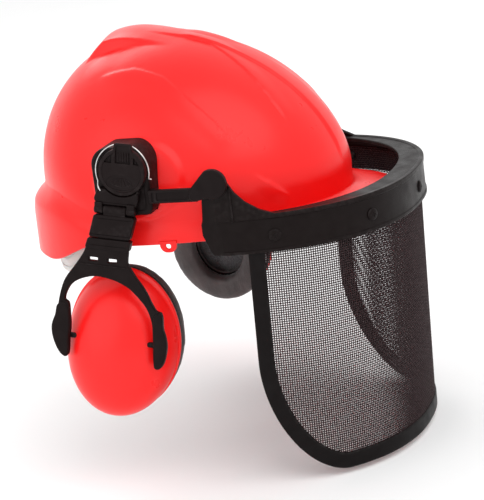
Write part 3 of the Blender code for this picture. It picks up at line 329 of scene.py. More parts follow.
def settled(obj, kind=None, **settings):
    """The object as a plain mesh, changed by a modifier if a kind is given."""
    if kind:
        modifier = obj.modifiers.new("change", kind)
        for key, value in settings.items():
            setattr(modifier, key, value)
    bpy.context.view_layer.update()
    graph = bpy.context.evaluated_depsgraph_get()
    mesh = bpy.data.meshes.new_from_object(obj.evaluated_get(graph))
    mesh.transform(obj.matrix_world)
    bpy.data.objects.remove(obj)
    return placed("settled", mesh)


def reshaped(obj, change):
    """The object after some bmesh steps on its mesh."""
    bm = bmesh.new()
    bm.from_mesh(obj.data)
    change(bm)
    bm.to_mesh(obj.data)
    bm.free()
    return obj


def recalculated(obj):
    def change(bm):
        bmesh.ops.remove_doubles(bm, verts=bm.verts, dist=1e-4)
        bmesh.ops.recalc_face_normals(bm, faces=bm.faces)

    return reshaped(obj, change)


def combined(operation, obj, others):
    for other in others:
        obj = settled(obj, "BOOLEAN", operation=operation, object=other, solver="EXACT")
        bpy.data.objects.remove(other)
    return obj


def cut(obj, *others):
    """The object less each of the others, one after another."""
    return combined("DIFFERENCE", obj, others)


def united(obj, *others):
    """The object joined to each of the others, one after another."""
    return combined("UNION", obj, others)


def piece(name, obj, look, body, *nodes, matrix=RIM, sharp=32):
    """Places a finished shape, gives it its material and lets it ride on a body."""
    obj.name = obj.data.name = name
    obj.data.transform(matrix)
    obj.data.materials.clear()
    obj.data.materials.append(look.material)
    obj.data.shade_smooth()
    obj.data.set_sharp_from_angle(angle=math.radians(sharp))
    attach(obj, body)
    if nodes:
        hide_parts(*nodes)


def around(count):
    """Angles in equal steps round a full turn."""
    return np.linspace(0, 2 * math.pi, count, endpoint=False)


def bulge(value, power):
    """A value's size to a power, with the value's sign."""
    return np.sign(value) * np.abs(value) ** power


def skin_faces(count, width, joined=False, offset=0):
    """Quads between neighbouring rows of points, each row a closed loop."""
    index = np.arange(count * width).reshape(count, width) + offset
    if joined:
        index = np.vstack([index, index[:1]])
    index = np.hstack([index, index[:, :1]])
    corners = (index[:-1, :-1], index[:-1, 1:], index[1:, 1:], index[1:, :-1])
    return np.stack(corners, axis=-1).reshape(-1, 4).tolist()


def skinned(rows, joined=False):
    """A closed skin through rows of points; the ends are capped or the rows join up."""
    rows = np.asarray(rows, float)
    count, width = rows.shape[:2]
    faces = skin_faces(count, width, joined)
    if not joined:
        faces.append(list(range(width))[::-1])
        faces.append(list(range((count - 1) * width, count * width)))
    return recalculated(raw(rows.reshape(-1, 3), faces))


def poled(rows, first=None, last=None):
    """A skin through rows of points, closed by a pole point at either end."""
    rows = np.asarray(rows, float)
    count, width = rows.shape[:2]
    points = rows.reshape(-1, 3).tolist()
    faces = skin_faces(count, width)
    for pole, base in ((first, 0), (last, (count - 1) * width)):
        if pole is not None:
            points.append(pole)
            faces += [[base + i, base + (i + 1) % width, len(points) - 1] for i in range(width)]
    return recalculated(raw(points, faces))


def rounded(corners, steps=8):
    """An outline from (x, y, radius) corners, each rounded with an arc."""
    points = []
    for i, (x, y, radius) in enumerate(corners):
        here = Vector((x, y))
        if not radius:
            points.append(here)
            continue
        before = (Vector(corners[i - 1][:2]) - here).normalized()
        after = (Vector(corners[(i + 1) % len(corners)][:2]) - here).normalized()
        half = before.angle(after) / 2
        reach = radius / math.tan(half)
        centre = here + (before + after).normalized() * (radius / math.sin(half))
        first, last = here + before * reach - centre, here + after * reach - centre
        points += [centre + first.lerp(last, k / steps).normalized() * radius
                   for k in range(steps + 1)]
    return points


def oblong(left, right, low, high, radius, steps):
    return rounded(((left, low, radius), (right, low, radius), (right, high, radius),
                    (left, high, radius)), steps)


def flowing(points, steps):
    """A closed smooth outline through points."""
    spline = []
    for i in range(len(points)):
        a, b, c, d = (Vector(points[(i + k) % len(points)]) for k in (-1, 0, 1, 2))
        spline += [0.5 * (2 * b + (c - a) * t + (2 * a - 5 * b + 4 * c - d) * t * t
                          + (3 * b - a - 3 * c + d) * t ** 3)
                   for t in (k / steps for k in range(steps))]
    return spline


def oval(half_width, half_height, sides):
    return [Vector((half_width * math.cos(a), half_height * math.sin(a)))
            for a in around(sides)]


def arc_points(radius, start, end, count):
    """Points of an arc about the origin, from one angle to another in degrees."""
    return [Vector((radius * math.cos(a), radius * math.sin(a)))
            for a in np.radians(np.linspace(start, end, count))]


def shifted(points, x, y):
    return [point + Vector((x, y)) for point in points]


def curved(dimensions, loops, closed, **settings):
    """A curve through loops of points, with its thickness, turned into a mesh."""
    curve = bpy.data.curves.new("curve", "CURVE")
    curve.dimensions = dimensions
    for key, value in settings.items():
        setattr(curve, key, value)
    for loop in loops:
        spline = curve.splines.new("POLY")
        spline.points.add(len(loop) - 1)
        spline.use_cyclic_u = closed
        for point, spot in zip(spline.points, loop):
            point.co = (*spot, 0)[:3] + (1,)
    return settled(placed("curve", curve))


# An upright plate's own x runs forward (-Y), its own y up, and its thickness along X.
UPRIGHT = Matrix(((0, 0, -1, 0), (-1, 0, 0, 0), (0, 1, 0, 0), (0, 0, 0, 1)))
# A cross plate's own x runs along X, its own y up, and its thickness along Y.
CROSSWISE = Matrix(((1, 0, 0, 0), (0, 0, -1, 0), (0, 1, 0, 0), (0, 0, 0, 1)))


def plate(outline, thickness, edge, centre=(0, 0, 0), facing=UPRIGHT, holes=(), rounds=3):
    """A flat outline with a thickness and rounded edges."""
    made = curved("2D", (outline, *holes), True, fill_mode="BOTH", bevel_depth=edge,
                  bevel_resolution=rounds, extrude=thickness / 2 - edge, offset=-edge)
    made.data.transform(Matrix.Translation(centre) @ facing)
    return recalculated(made)


def tube(path, radius, rounds=2, closed=False):
    """A round bar along a path of points."""
    return recalculated(curved("3D", (path,), closed, bevel_depth=radius,
                               bevel_resolution=rounds, use_fill_caps=True))


def slab(size, centre, turn=None, edge=0.0):
    """A block with rounded edges."""
    def change(bm):
        bmesh.ops.create_cube(bm, size=1)
        bmesh.ops.scale(bm, vec=size, verts=bm.verts)
        if edge:
            bmesh.ops.bevel(bm, geom=bm.edges[:], offset=edge, segments=3, profile=0.5,
                            affect="EDGES")
        if turn:
            bmesh.ops.transform(bm, matrix=turn, verts=bm.verts)
        bmesh.ops.translate(bm, vec=centre, verts=bm.verts)

    return reshaped(raw([], []), change)


def turned(profile, matrix=Matrix.Identity(4), steps=64):
    """A closed profile of (radius, height) turned about Z, starting and ending on the axis."""
    rows = [[(radius * math.cos(a), radius * math.sin(a), height) for a in around(steps)]
            for radius, height in profile[1:-1]]
    made = poled(rows, (0, 0, profile[0][1]), (0, 0, profile[-1][1]))
    made.data.transform(matrix)
    return recalculated(made)


def along_x(centre, side):
    """Turns a shape made about Z so that its +Z points outwards along X."""
    return Matrix.Translation(centre) @ Matrix.Rotation(side * math.pi / 2, 4, "Y")


def rod(radius, length, centre, axis="X", sides=32, edge=0.3):
    half = length / 2
    profile = ((0, half), (radius - edge, half), (radius, half - edge), (radius, edge - half),
               (radius - edge, -half), (0, -half))
    turn = Matrix.Rotation(math.pi / 2, 4, {"X": "Y", "Y": "X"}[axis])
    return turned(profile, Matrix.Translation(centre) @ turn, sides)


def joined(*objs):
    """One object of several separate bodies."""
    def gather(bm):
        for obj in objs:
            bm.from_mesh(obj.data)
            bpy.data.objects.remove(obj)

    return reshaped(raw([], []), gather)


def points_of(obj):
    return np.array([vertex.co for vertex in obj.data.vertices])


def set_points(obj, points):
    obj.data.vertices.foreach_set("co", points.astype(np.float32).ravel())
    obj.data.update()


def smoothstep(low, high, value):
    share = np.clip((np.asarray(value, float) - low) / (high - low), 0, 1)
    return share * share * (3 - 2 * share)


# --- Shell ---


def ring_table(dome_rings):
    """Ring sizes from the rim to just under the crown, with the rim's corners cut round."""
    front, rear, half, *levels = DOME_FOOT
    rim = np.array(RIM_RINGS + (DOME_FOOT,), float)
    for _ in range(3):
        cut = [rim[0]]
        for a, b in zip(rim[:-1], rim[1:]):
            cut += [0.75 * a + 0.25 * b, 0.25 * a + 0.75 * b]
        rim = np.array(cut + [rim[-1]])
    dome = []
    for rise in np.radians(np.linspace(0, 90, dome_rings, endpoint=False)[1:]):
        up = math.sin(rise)
        ahead = (1 - up ** DOME_FRONT_POWER) ** (1 / DOME_FRONT_POWER)
        behind = (1 - up ** DOME_REAR_POWER) ** (1 / DOME_REAR_POWER)
        dome.append((DOME_CENTRE + (front - DOME_CENTRE) * ahead,
                     -DOME_CENTRE + (rear + DOME_CENTRE) * behind, half * math.cos(rise),
                     *(level + (DOME_TOP - level) * up for level in levels)))
    return np.vstack([rim, dome])


def crown_rise(forward, side):
    """Height of the central hump and the ridge that runs on to the front."""
    along = np.clip((forward - HUMP_REAR) / HUMP_RAMP, 0, 1)
    fade = 1 - smoothstep(HUMP_REAR + HUMP_RAMP, 5, forward)
    hump = HUMP_HEIGHT * along * fade
    hump = hump * (1 - smoothstep(HUMP_HALF_WIDTH - 5, HUMP_HALF_WIDTH, abs(side)))
    ridge = RIDGE_HEIGHT * smoothstep(-25, 5, forward)
    return hump + ridge * (1 - smoothstep(RIDGE_HALF_WIDTH - 2.5, RIDGE_HALF_WIDTH, abs(side)))


def slot_pad(forward, level):
    far = np.hypot((forward - PAD_CENTRE[0]) / PAD_REACH[0], (level - PAD_CENTRE[1]) / PAD_REACH[1])
    return PAD_HEIGHT * (1 - smoothstep(0.84, 1.0, far))


# Moulded style lines: a path of (half width, forward, height), the height of the step, how
# far it falls away on its high side, and which side that is.
STYLE_LINES = (
    (((9, 3, 134), (11, 28, 129), (23, 51, 117), (32, 68, 103), (39, 82, 88), (43, 94, 68)),
     0.9, 15, 1),
    (((56, -46, 113), (56, -31, 117), (55, -15, 118), (60, 7, 112), (71, 29, 96),
      (76, 53, 74), (78, 63, 62)), 0.9, 16, -1),
    (((69, -56, 96), (66, -46, 103)), 0.5, 6, 1),
    (((82, 76, 44), (74, 84, 34), (60, 92, 18)), 1.4, 14, -1),
)


def style_rise(points):
    """Height of the style lines' steps at (side, -forward, height) points."""
    spots = points.reshape(-1, 3) * (1, -1, 1)
    spots[:, 0] = abs(spots[:, 0])
    outward = spots - (0, DOME_CENTRE, 10)
    outward /= np.linalg.norm(outward, axis=1)[:, None]
    total = np.zeros(len(spots))
    for path, height, fade, way in STYLE_LINES:
        path = np.array(path, float)
        steps = np.linalg.norm(np.diff(path, axis=0), axis=1)
        starts = np.concatenate([[0], np.cumsum(steps)])
        best = np.full(len(spots), 1e9)
        signed, run = np.zeros(len(spots)), np.zeros(len(spots))
        for a, b, length, start in zip(path[:-1], path[1:], steps, starts):
            t = np.clip((spots - a) @ (b - a) / length ** 2, 0, 1)
            off = spots - (a + t[:, None] * (b - a))
            far = np.linalg.norm(off, axis=1)
            left = np.einsum("ij,ij->i", off, np.cross(outward, (b - a) / length))
            nearer = far < best
            signed[nearer] = (np.sign(left) * far)[nearer]
            run[nearer] = (start + t * length)[nearer]
            best = np.minimum(best, far)
        taper = smoothstep(0, 14, run) * smoothstep(0, 14, starts[-1] - run)
        across = way * signed
        total += height * taper * smoothstep(-1.0, 1.0, across) * (1 - smoothstep(2, fade, across))
    return total.reshape(points.shape[:-1])


def shell_surface(rings, turns, grow=0.0, dressed=False):
    """Points of the shell's outer surface, grown outwards by some mm."""
    front, rear, half, at_front, at_side, at_rear = (column[:, None] for column in rings.T)
    side, ahead = np.cos(turns)[None, :], np.sin(turns)[None, :]
    reach = np.where(ahead > 0, front - DOME_CENTRE, rear + DOME_CENTRE)
    level = at_side + np.where(ahead > 0,
                               (at_front - at_side) * smoothstep(0.3, 0.8, ahead),
                               (at_rear - at_side) * smoothstep(0.25, 0.72, -ahead))
    across = half * side
    forward = DOME_CENTRE + reach * ahead
    across = across + np.sign(across) * slot_pad(forward, level) * abs(side)
    lift = crown_rise(forward, across) * smoothstep(22, 50, level)
    slope = np.stack([across / 104 ** 2, -(forward - DOME_CENTRE) / 117 ** 2,
                      np.clip(level - 30, 0, None) / 105 ** 2], axis=-1)
    slope /= np.linalg.norm(slope, axis=-1)[..., None] + 1e-12
    points = np.stack([across + grow * side, -(forward + grow * ahead),
                       level + grow * np.clip(level / DOME_TOP, 0, 1)], axis=-1)
    if dressed:
        lift = lift + style_rise(points) * smoothstep(8, 20, level)
    return points + slope * lift[..., None]


def dome_cutter(grow):
    """A solid with the dome's outer surface, grown outwards by some mm."""
    surface = shell_surface(ring_table(36)[10:], around(120), grow)

    def close(bm):
        bmesh.ops.holes_fill(bm, edges=[edge for edge in bm.edges if edge.is_boundary])
        bmesh.ops.recalc_face_normals(bm, faces=bm.faces)

    top = (0, -DOME_CENTRE, DOME_TOP + grow + RIDGE_HEIGHT)
    return reshaped(poled(surface, None, top), close)


def build_shell():
    """Outer and inner surfaces joined over a rounded rim edge, slots and chin-strap tabs."""
    turns = around(480) + math.pi / 480
    table = ring_table(112)
    outer = shell_surface(table, turns, dressed=True)
    inner = shell_surface(table, turns, grow=-SHELL_WALL)
    edge = 0.5 * (outer[:1] + inner[:1]) - (0, 0, 0.9)
    shoulder_out, shoulder_in = (0.4 * edge + 0.6 * s[:1] - (0, 0, 0.25) for s in (outer, inner))
    rows = np.concatenate([inner[::3][::-1], shoulder_in, edge, shoulder_out, outer])
    top = crown_rise(DOME_CENTRE, 0) + DOME_TOP
    solid = poled(rows, (0, -DOME_CENTRE, top - SHELL_WALL), (0, -DOME_CENTRE, top))
    for side in (-1, 1):
        solid = cut(solid, slab((20, 29, 4), (side * 106, -SLOT_FORWARD, SLOT_LEVEL + 0.3)))
    piece("shell_visual", solid, RED, "helmet", "shell", sharp=60)
    half_width = RIM_RINGS[0][2]
    for name, side in SIDES.items():
        outline = rounded(((-5.8, -6.6, 5.4), (5.8, -6.6, 5.4), (6.6, 2, 0), (-6.6, 2, 0)), 10)
        tab = plate(shifted(outline, CHIN_TAB_FORWARD, 0), 2.2, 0.6,
                    (side * (half_width - 1.7), 0, 0),
                    holes=[shifted(oval(2, 2, 28), CHIN_TAB_FORWARD, -1.9)])
        piece(f"chin_tab_{name}", tab, RED, "helmet")


# --- Side hardware ---


def frame_of(origin, x, y, z):
    """A placing matrix, millimetres to metres, from an origin and three axes."""
    turn = Matrix((x, y, z)).transposed().to_4x4()
    return Matrix.Translation(origin) @ turn @ Matrix.Scale(MM, 4)


def side_frames(name, side):
    """Frames of the arm, the fork and the cup on one side, from the record's joints."""
    swing, flip, slide, tilt = (JOINTS[f"{j}_{name}"] for j in
                                ("muff_swing", "muff_flip", "muff_slide", "cup_tilt"))
    y = Vector(flip["axis"]) * -side
    x = Vector((1, 0, 0))
    arm = frame_of(Vector(swing["pos_m"]), x, y, x.cross(y))
    z = -Vector(slide["axis"])
    x = y.cross(z)
    fork = frame_of(Vector(flip["pos_m"]) + z * FLIP_DROP * MM, x, y, z)
    turn = Matrix.Rotation(side * CUP_TILT[name], 3, y)
    cup = frame_of(Vector(tilt["pos_m"]), turn @ x, y, turn @ z)
    return arm, fork, cup


def build_adapter(name, side):
    """Casing over the accessory slot, cut to the dome, with a stepped face."""
    back, front, base, top = ADAPTER_BACK, ADAPTER_FRONT, ADAPTER_BASE, ADAPTER_TOP

    def block(inset, thickness, edge, out, rounds=3):
        low = max(3 - inset, 1)
        outline = rounded(((back + inset, base + inset, low),
                           (front - inset, base + inset, low + 3),
                           (front - inset, top - inset, 16 - inset),
                           (back + inset, top - inset, 13 - inset)), 12)
        return plate(outline, thickness, edge, (side * out, 0, 0), rounds=rounds)

    depth = 40
    middle = ADAPTER_FACE - depth / 2
    groove = cut(block(3.4, 0.8, 0.2, ADAPTER_FACE), block(4.4, 2, 0.2, ADAPTER_FACE))
    bore = rod(5.4, 20, (side * ADAPTER_FACE, -PIVOT_FORWARD, PIVOT_HEIGHT))
    body = cut(block(0, depth, 2.2, middle, 4), block(3.2, depth, 0.5, middle - 3),
               dome_cutter(ADAPTER_GAP), bore, groove)
    piece(f"adapter_casing_{name}", body, BLACK, "helmet", f"adapter_{name}")
    tongue = slab((21, 28, 3.2), (side * 108.2, -SLOT_FORWARD, SLOT_LEVEL + 0.3), edge=0.4)
    barb = slab((3, 27.4, 5), (side * 98.6, -SLOT_FORWARD, SLOT_LEVEL + 0.2), edge=0.8)
    piece(f"adapter_tongue_{name}", united(tongue, barb), BLACK, "helmet")


def build_disc(name, side, arm):
    """Turning disc: three recessed windows over a cross bar, an oval recess, a top hook."""
    face, under, back = ARM_OUT + 0.5, ADAPTER_FACE + 0.3, ADAPTER_FACE - 3.3
    r, middle = DISC_RADIUS, (side * face, 0, 0)
    profile = [(0, face - 0.5), (r - 3.0, face - 0.5), (r - 2.6, face), (r - 1.2, face),
               (r - 0.4, face - 0.35), (r, face - 1.2), (r, under), (5, under), (5, back),
               (7.2, back), (6, back - 2), (0, back - 2)]
    hook = plate(rounded(((-7, 11, 1.4), (8.6, 11, 1.4), (7.4, 21, 1.8), (-5.4, 21, 1.8)), 6),
                 2.6, 0.7, (side * (face - 1.3), 0, 0))
    windows = (
        [Vector((-7.3, 6.3))] + arc_points(14.6, 120, 154.4, 10),
        rounded(((-4.9, 6.3, 0.8), (6.7, 6.3, 0.8), (6.4, 16.2, 0.8), (-4.5, 16.2, 0.8)), 4),
        [Vector((8.7, 6.3))] + arc_points(14.6, 25.6, 53.4, 10))
    pocket = rounded(((-4.3, 15, 0.8), (6.2, 15, 0.8), (5.8, 19.6, 1), (-4, 19.6, 1)), 4)
    disc = cut(united(turned(profile, along_x((0, 0, 0), side), 96), hook),
               *(plate(window, 4.4, 0.2, middle, rounds=1) for window in windows),
               plate(pocket, 2.2, 0.3, middle),
               plate(shifted(oval(11.2, 5.6, 48), -0.5, -7.6), 2.2, 0.4, middle))
    piece(f"disc_{name}", disc, DISC_BLACK, f"arm_{name}", f"pivot_disc_{name}", matrix=arm)
    spans = [(a, 6.7, 14.1) for a in (-2.9, -1, 0.9, 2.8, 4.7)]
    spans += [(a, 6.6, high) for a, high in ((-11.2, 8.8), (-9.2, 10.8), (10.4, 9.8), (12, 7.8))]
    grips = [slab((0.9, 0.7, high - low), (side * (face - 2.1), -a, (high + low) / 2), edge=0.2)
             for a, low, high in spans]
    grips += [slab((0.8, 0.6, 6.6), (side * (face - 1.1), 0.5 + 6.6 * math.sin(a), -7.6),
                   Matrix.Rotation(a * 0.9, 4, "X"), 0.2) for a in np.linspace(-1.1, 1.1, 7)]
    rim = tube([(side * (face - 1), 0.5 + 7.4 * math.cos(a), -7.6 + 2.9 * math.sin(a))
                for a in around(40)], 0.35, 1, True)
    piece(f"disc_grips_{name}", joined(*grips, rim), DISC_BLACK, f"arm_{name}", matrix=arm)


def build_spring(name, side, arm):
    """Bright wire bent round the disc, one end kinked, the other hooked over the arm's block."""
    out = side * (ADAPTER_FACE + 1.3)
    path = [(out, -21.4, -3.5), (out, -20.2, -3.4)]
    for spot in arc_points(WIRE_ARC_RADIUS, -8, 204, 84):
        lift = side * 1.1 * smoothstep(0.2, 0.9, abs(spot.x) / WIRE_ARC_RADIUS)
        path.append((out + lift, -spot.x, spot.y))
    path += [(out + side * a, b, c) for a, b, c in
             ((2.4, 17.8, -9.4), (4.2, 17.1, -10.6), (5.3, 16.2, -12), (5.4, 14.8, -14))]
    piece(f"spring_{name}", tube(path, 0.46, 4), STEEL, f"arm_{name}", f"spring_wire_{name}",
          matrix=arm, sharp=60)


def build_hub(name, side, arm):
    """Block under the disc with two hinge knuckles and a rounded shoulder each side."""
    middle = ARM_SET_BACK + HINGE_AHEAD
    back, front, foot = middle - ARM_HALF_WIDTH, middle + ARM_HALF_WIDTH, 3.6 - FLIP_DROP
    outline = arc_points(DISC_RADIUS + 0.4, 312, 228, 18)
    outline += rounded(((back + 2.4, -12.5, 1.6), (back - 0.6, -20.5, 3), (back + 1.4, foot, 1.5),
                        (front, foot, 1.5), (front + 1.6, -20, 3), (front + 2, -12.5, 1.6)), 6)
    thick = 5.4
    out = ADAPTER_FACE + 0.4 + thick / 2
    hub = plate(outline, thick, 1.1, (side * out, 0, 0))
    for along in (-12, 12):
        centre = (side * ARM_OUT, -(middle + along), -FLIP_DROP)
        neck = slab((5.4, 5.6, 5.6), (side * (ARM_OUT - 0.2), centre[1], 2.8 - FLIP_DROP), edge=0.4)
        hub = united(hub, neck, rod(3.1, 6.4, centre, "Y", 32, 0.5))
    seam = slab((0.7, 2 * ARM_HALF_WIDTH - 4, 0.5), (side * (out + thick / 2), -middle, -22.4))
    piece(f"hub_{name}", cut(hub, seam), BLACK, f"arm_{name}", f"arm_hub_{name}", matrix=arm)
    pin = rod(1.1, 30, (side * ARM_OUT, -middle, -FLIP_DROP), "Y", 24)
    piece(f"hinge_pin_{name}", pin, STEEL, f"arm_{name}", f"flip_pin_{name}", matrix=arm)


def build_sleeve(name, fork):
    """Slanted flat sleeve with a hinge knuckle on top, seams near both ends and a slot."""
    half, slant, (foot, top) = ARM_HALF_WIDTH, SLEEVE_SLANT, SLEEVE_LEVELS
    body = plate(rounded(((-half - slant, foot, 1.6), (half - slant, foot, 1.6),
                          (half + slant, top, 2.2), (-half + slant, top, 2.2)), 6), 7.2, 1.2)
    body = united(body, rod(3.0, 17, (0, -HINGE_AHEAD, -FLIP_DROP), "Y", 32, 0.5),
                  slab((5.4, 16.2, 5), (0, -HINGE_AHEAD, top + 1), edge=0.4))
    for x in (3.6, -3.6):
        body = cut(body, slab((0.9, 2 * half + 6, 0.6), (x, slant, foot + 2.4)),
                   slab((0.7, 2 * half - 6, 0.5), (x, -slant, top - 2.4)))
    body = cut(body, slab((3.8, 22.8, 20), (0, 0, top - 10.8)))
    piece(f"sleeve_{name}", body, BLACK, f"sleeve_{name}", f"arm_sleeve_{name}", matrix=fork)


# The fork's outline, (forward, height below the swing pivot): its rear arm, the inside of the
# arch, then its front arm. The two pads lie over the arms' swollen ends.
FORK_OUTLINE = (
    (-14, -50.2), (-18.8, -53), (-20.1, -57), (-21.8, -61.3), (-27.2, -69.7), (-35.2, -81.3),
    (-38.8, -91.8), (-40.9, -103.4), (-42, -108.6), (-44.8, -117), (-44.3, -124.5),
    (-41.4, -132.4), (-37.3, -138.4), (-32.6, -138.9), (-31.8, -127), (-31, -116.4),
    (-31.6, -107), (-32.6, -99.7), (-35.4, -97), (-33.4, -90.2), (-29.4, -84.6),
    (-22.1, -80.1), (-11.5, -77.4), (1.3, -78.9), (10.1, -82.1), (16, -85.8), (25.5, -95.2),
    (30, -103.9), (31.6, -112.2), (32.2, -126.4), (32.6, -135.6), (33.8, -140.4),
    (37.9, -140.1), (40.6, -135), (42.2, -124.9), (41, -116.5), (39, -111), (38, -100),
    (34.1, -98.4), (30.3, -93), (25.1, -83.8), (17.8, -74.8), (12.5, -67), (11.8, -63.5),
    (12.2, -57.5), (11.4, -52.8), (6, -50.2),
)
REAR_PAD = ((-41.2, -102), (-42.6, -109), (-45.2, -117), (-44.7, -125), (-41.8, -133),
            (-37.6, -138.9), (-33, -139.3), (-32.2, -127), (-31.5, -116), (-32, -107),
            (-33.4, -100.8), (-37, -98.8))
FRONT_PAD = ((38.6, -101), (39.6, -111), (41.6, -117), (42.7, -125), (41, -135.4),
             (38, -140.6), (34, -140.8), (33, -135.6), (32.6, -126), (32, -112),
             (32.2, -104.5), (34.6, -100))


def build_yoke(name, side, fork):
    """Fork over the cup: a lopsided arch with swollen ends, slots and ridges on its neck."""
    slots = [shifted(rounded(((-3.4, -low, 0.5), (3.4, -1.3, 0.5), (3.4, 1.3, 0.5),
                              (-3.4, 1.3, 0.5)), 3), along, -64.7)
             for along, low in ((-13.9, 1.3), (0.4, 1.8))]
    collar = plate(rounded(((-20.5, -57, 1.6), (12.9, -57, 1.6), (14.4, -49, 1.6),
                            (-18, -49, 1.6)), 5), 6.6, 1.0)
    pads = (plate(flowing(pad, 4), 5.5, 1.4, (side * 0.8, 0, 0), rounds=4)
            for pad in (REAR_PAD, FRONT_PAD))
    yoke = united(plate(flowing(FORK_OUTLINE, 4), 4.6, 1.1, (side * 0.2, 0, 0), holes=slots,
                        rounds=4), slab((3, 22, 20), (0, 0, -42.6), edge=0.3), collar, *pads)
    for x in (1, -1):
        yoke = united(yoke, slab((0.9, 34, 0.9), (side * 0.2 + x * 2.5, 6.2, -68.7), edge=0.25))
        yoke = cut(yoke, slab((0.8, 26.8, 0.6), (x * 3.3, 2.4, -53.8)))
    piece(f"fork_{name}", yoke, BLACK, f"fork_{name}", f"yoke_{name}", matrix=fork)
    for end, way in (("front", 1), ("rear", -1)):
        pin = rod(2.0, 13.8, (side * (TILT_OUT - ARM_OUT), -way * 32.9, -TILT_DROP), "Y", 32, 0.5)
        piece(f"stub_pin_{end}_{name}", pin, BLACK, f"fork_{name}", f"cup_pin_{end}_{name}",
              matrix=fork)


# --- Muffs ---


def cup_dome(shares, side, shrink=0.0):
    """Rows of the cup's dome at shares of its full oval, in the cup's frame."""
    turns = around(CUP_SIDES)
    rows = []
    for share in shares:
        rise = (1 - share ** CUP_DOME_POWER) ** (1 / CUP_DOME_POWER)
        out = CUP_RIM + (CUP_DEPTH - shrink) * rise - TILT_OUT
        y = CUP_FACE_BACK * rise - (CUP_HALF_WIDTH - shrink) * share * np.cos(turns)
        z = (CUP_LEVEL - CUP_FACE_DROP * rise
             + (CUP_HALF_HEIGHT - shrink) * share * np.sin(turns))
        rows.append(np.stack([np.full(CUP_SIDES, side * out), y, z], axis=-1))
    return rows


def cup_rim(grow, out, side):
    turns = around(CUP_SIDES)
    y = -(CUP_HALF_WIDTH + grow) * np.cos(turns)
    z = CUP_LEVEL + (CUP_HALF_HEIGHT + grow) * np.sin(turns)
    return np.stack([np.full(CUP_SIDES, side * (out - TILT_OUT)), y, z], axis=-1)


def build_cup(name, side, cup):
    """Hard cup: a smooth dome on a beaded rim, open towards the head."""
    shares = np.sin(np.radians(np.linspace(86, 0, 46, endpoint=False)))
    inner = cup_dome(shares[::3], side, CUP_WALL)[::-1]
    rim = [cup_rim(grow, out, side) for grow, out in
           ((-CUP_WALL, 95.4), (-1.6, 95.1), (0.4, 95.1), (1.0, 95.4), (1.2, 96), (1.2, 97.4),
            (0.9, 98.1), (0.3, 98.4), (0.05, 98.7))]
    outer = [row for row in cup_dome(shares, side) if row[0][0] * side > 98.9 - TILT_OUT]
    deep, tip = (cup_dome([0.0], side, shrink)[0][0].tolist() for shrink in (CUP_WALL, 0.0))
    piece(f"cup_{name}", poled(inner + rim + outer, deep, tip), CUP_RED, f"cup_{name}",
          f"cup_shell_{name}", matrix=cup, sharp=50)


def oval_tube(half_width, half_height, out, radius, side):
    return tube([(side * (out - TILT_OUT), half_width * math.cos(a),
                  CUP_LEVEL + half_height * math.sin(a)) for a in around(140)], radius, 2, True)


def cushion_form(side):
    """Starting shape of the ear cushion, before it is inflated: a squared-off oval ring."""
    out, half_thickness, width, half_width, height, half_height, squareness = CUSHION
    rows = []
    for a in around(96):
        row = []
        for t in around(20):
            share = bulge(math.cos(t), squareness)
            row.append((side * (out + half_thickness * bulge(math.sin(t), squareness) - TILT_OUT),
                        (width + half_width * share) * math.cos(a),
                        (height + half_height * share) * math.sin(a) + CUP_LEVEL))
        rows.append(row)
    return skinned(rows, joined=True)


def inflate(obj, most, pressure=4.0, frames=20):
    """Blows the skin up as cloth; no point moves further than most, in metres."""
    rest = points_of(obj)
    settings = obj.modifiers.new("inflate", "CLOTH").settings
    settings.quality = 5
    settings.mass = 0.3
    settings.tension_stiffness = settings.compression_stiffness = 12
    settings.bending_stiffness = 0.4
    settings.use_pressure = True
    settings.uniform_pressure_force = pressure
    settings.effector_weights.gravity = 0
    scene = bpy.context.scene
    for step in range(1, frames + 1):
        scene.frame_set(step)
    graph = bpy.context.evaluated_depsgraph_get()
    move = points_of(obj.evaluated_get(graph)) - rest
    obj.modifiers.clear()
    scene.frame_set(1)
    far = np.linalg.norm(move, axis=1)
    move *= (np.minimum(far, most) / np.maximum(far, 1e-9))[:, None]
    set_points(obj, rest + move)


def swollen(form, voxel, most):
    """The form remeshed evenly, blown up by at most some mm, then refined."""
    form = settled(form, "REMESH", mode="VOXEL", voxel_size=voxel)
    form.data.transform(Matrix.Scale(MM, 4))
    inflate(form, most * MM)
    form.data.transform(Matrix.Scale(1 / MM, 4))
    return settled(form, "SUBSURF", levels=1, render_levels=1)


def build_cushion(name, side, cup):
    """Ear cushion inflated as cloth, flat where it meets its plate, with welded seams."""
    form = swollen(cushion_form(side), 3.2, 2.6)
    points = points_of(form)
    out = points[:, 0] * side + TILT_OUT
    angle = np.arctan2((points[:, 2] - CUP_LEVEL) / 41, points[:, 1] / 30)
    pucker = 0.22 * np.sin(46 * angle) * smoothstep(79, 90, out)
    points[:, 0] = side * (np.minimum(out, 91.2) - TILT_OUT)
    middle = np.stack([points[:, 0], 30.5 * np.cos(angle), 41.5 * np.sin(angle) + CUP_LEVEL],
                      axis=-1)
    away = points - middle
    away /= np.linalg.norm(away, axis=1)[:, None] + 1e-9
    set_points(form, points + away * pucker[:, None])
    body = f"cup_{name}"
    piece(f"ear_cushion_{name}", form, SKIN, body, f"cushion_{name}", matrix=cup, sharp=180)
    seams = joined(oval_tube(42, 53.6, 90.8, 0.55, side), oval_tube(21.6, 31.4, 90.4, 0.5, side))
    piece(f"cushion_seams_{name}", seams, SKIN, body, matrix=cup, sharp=180)


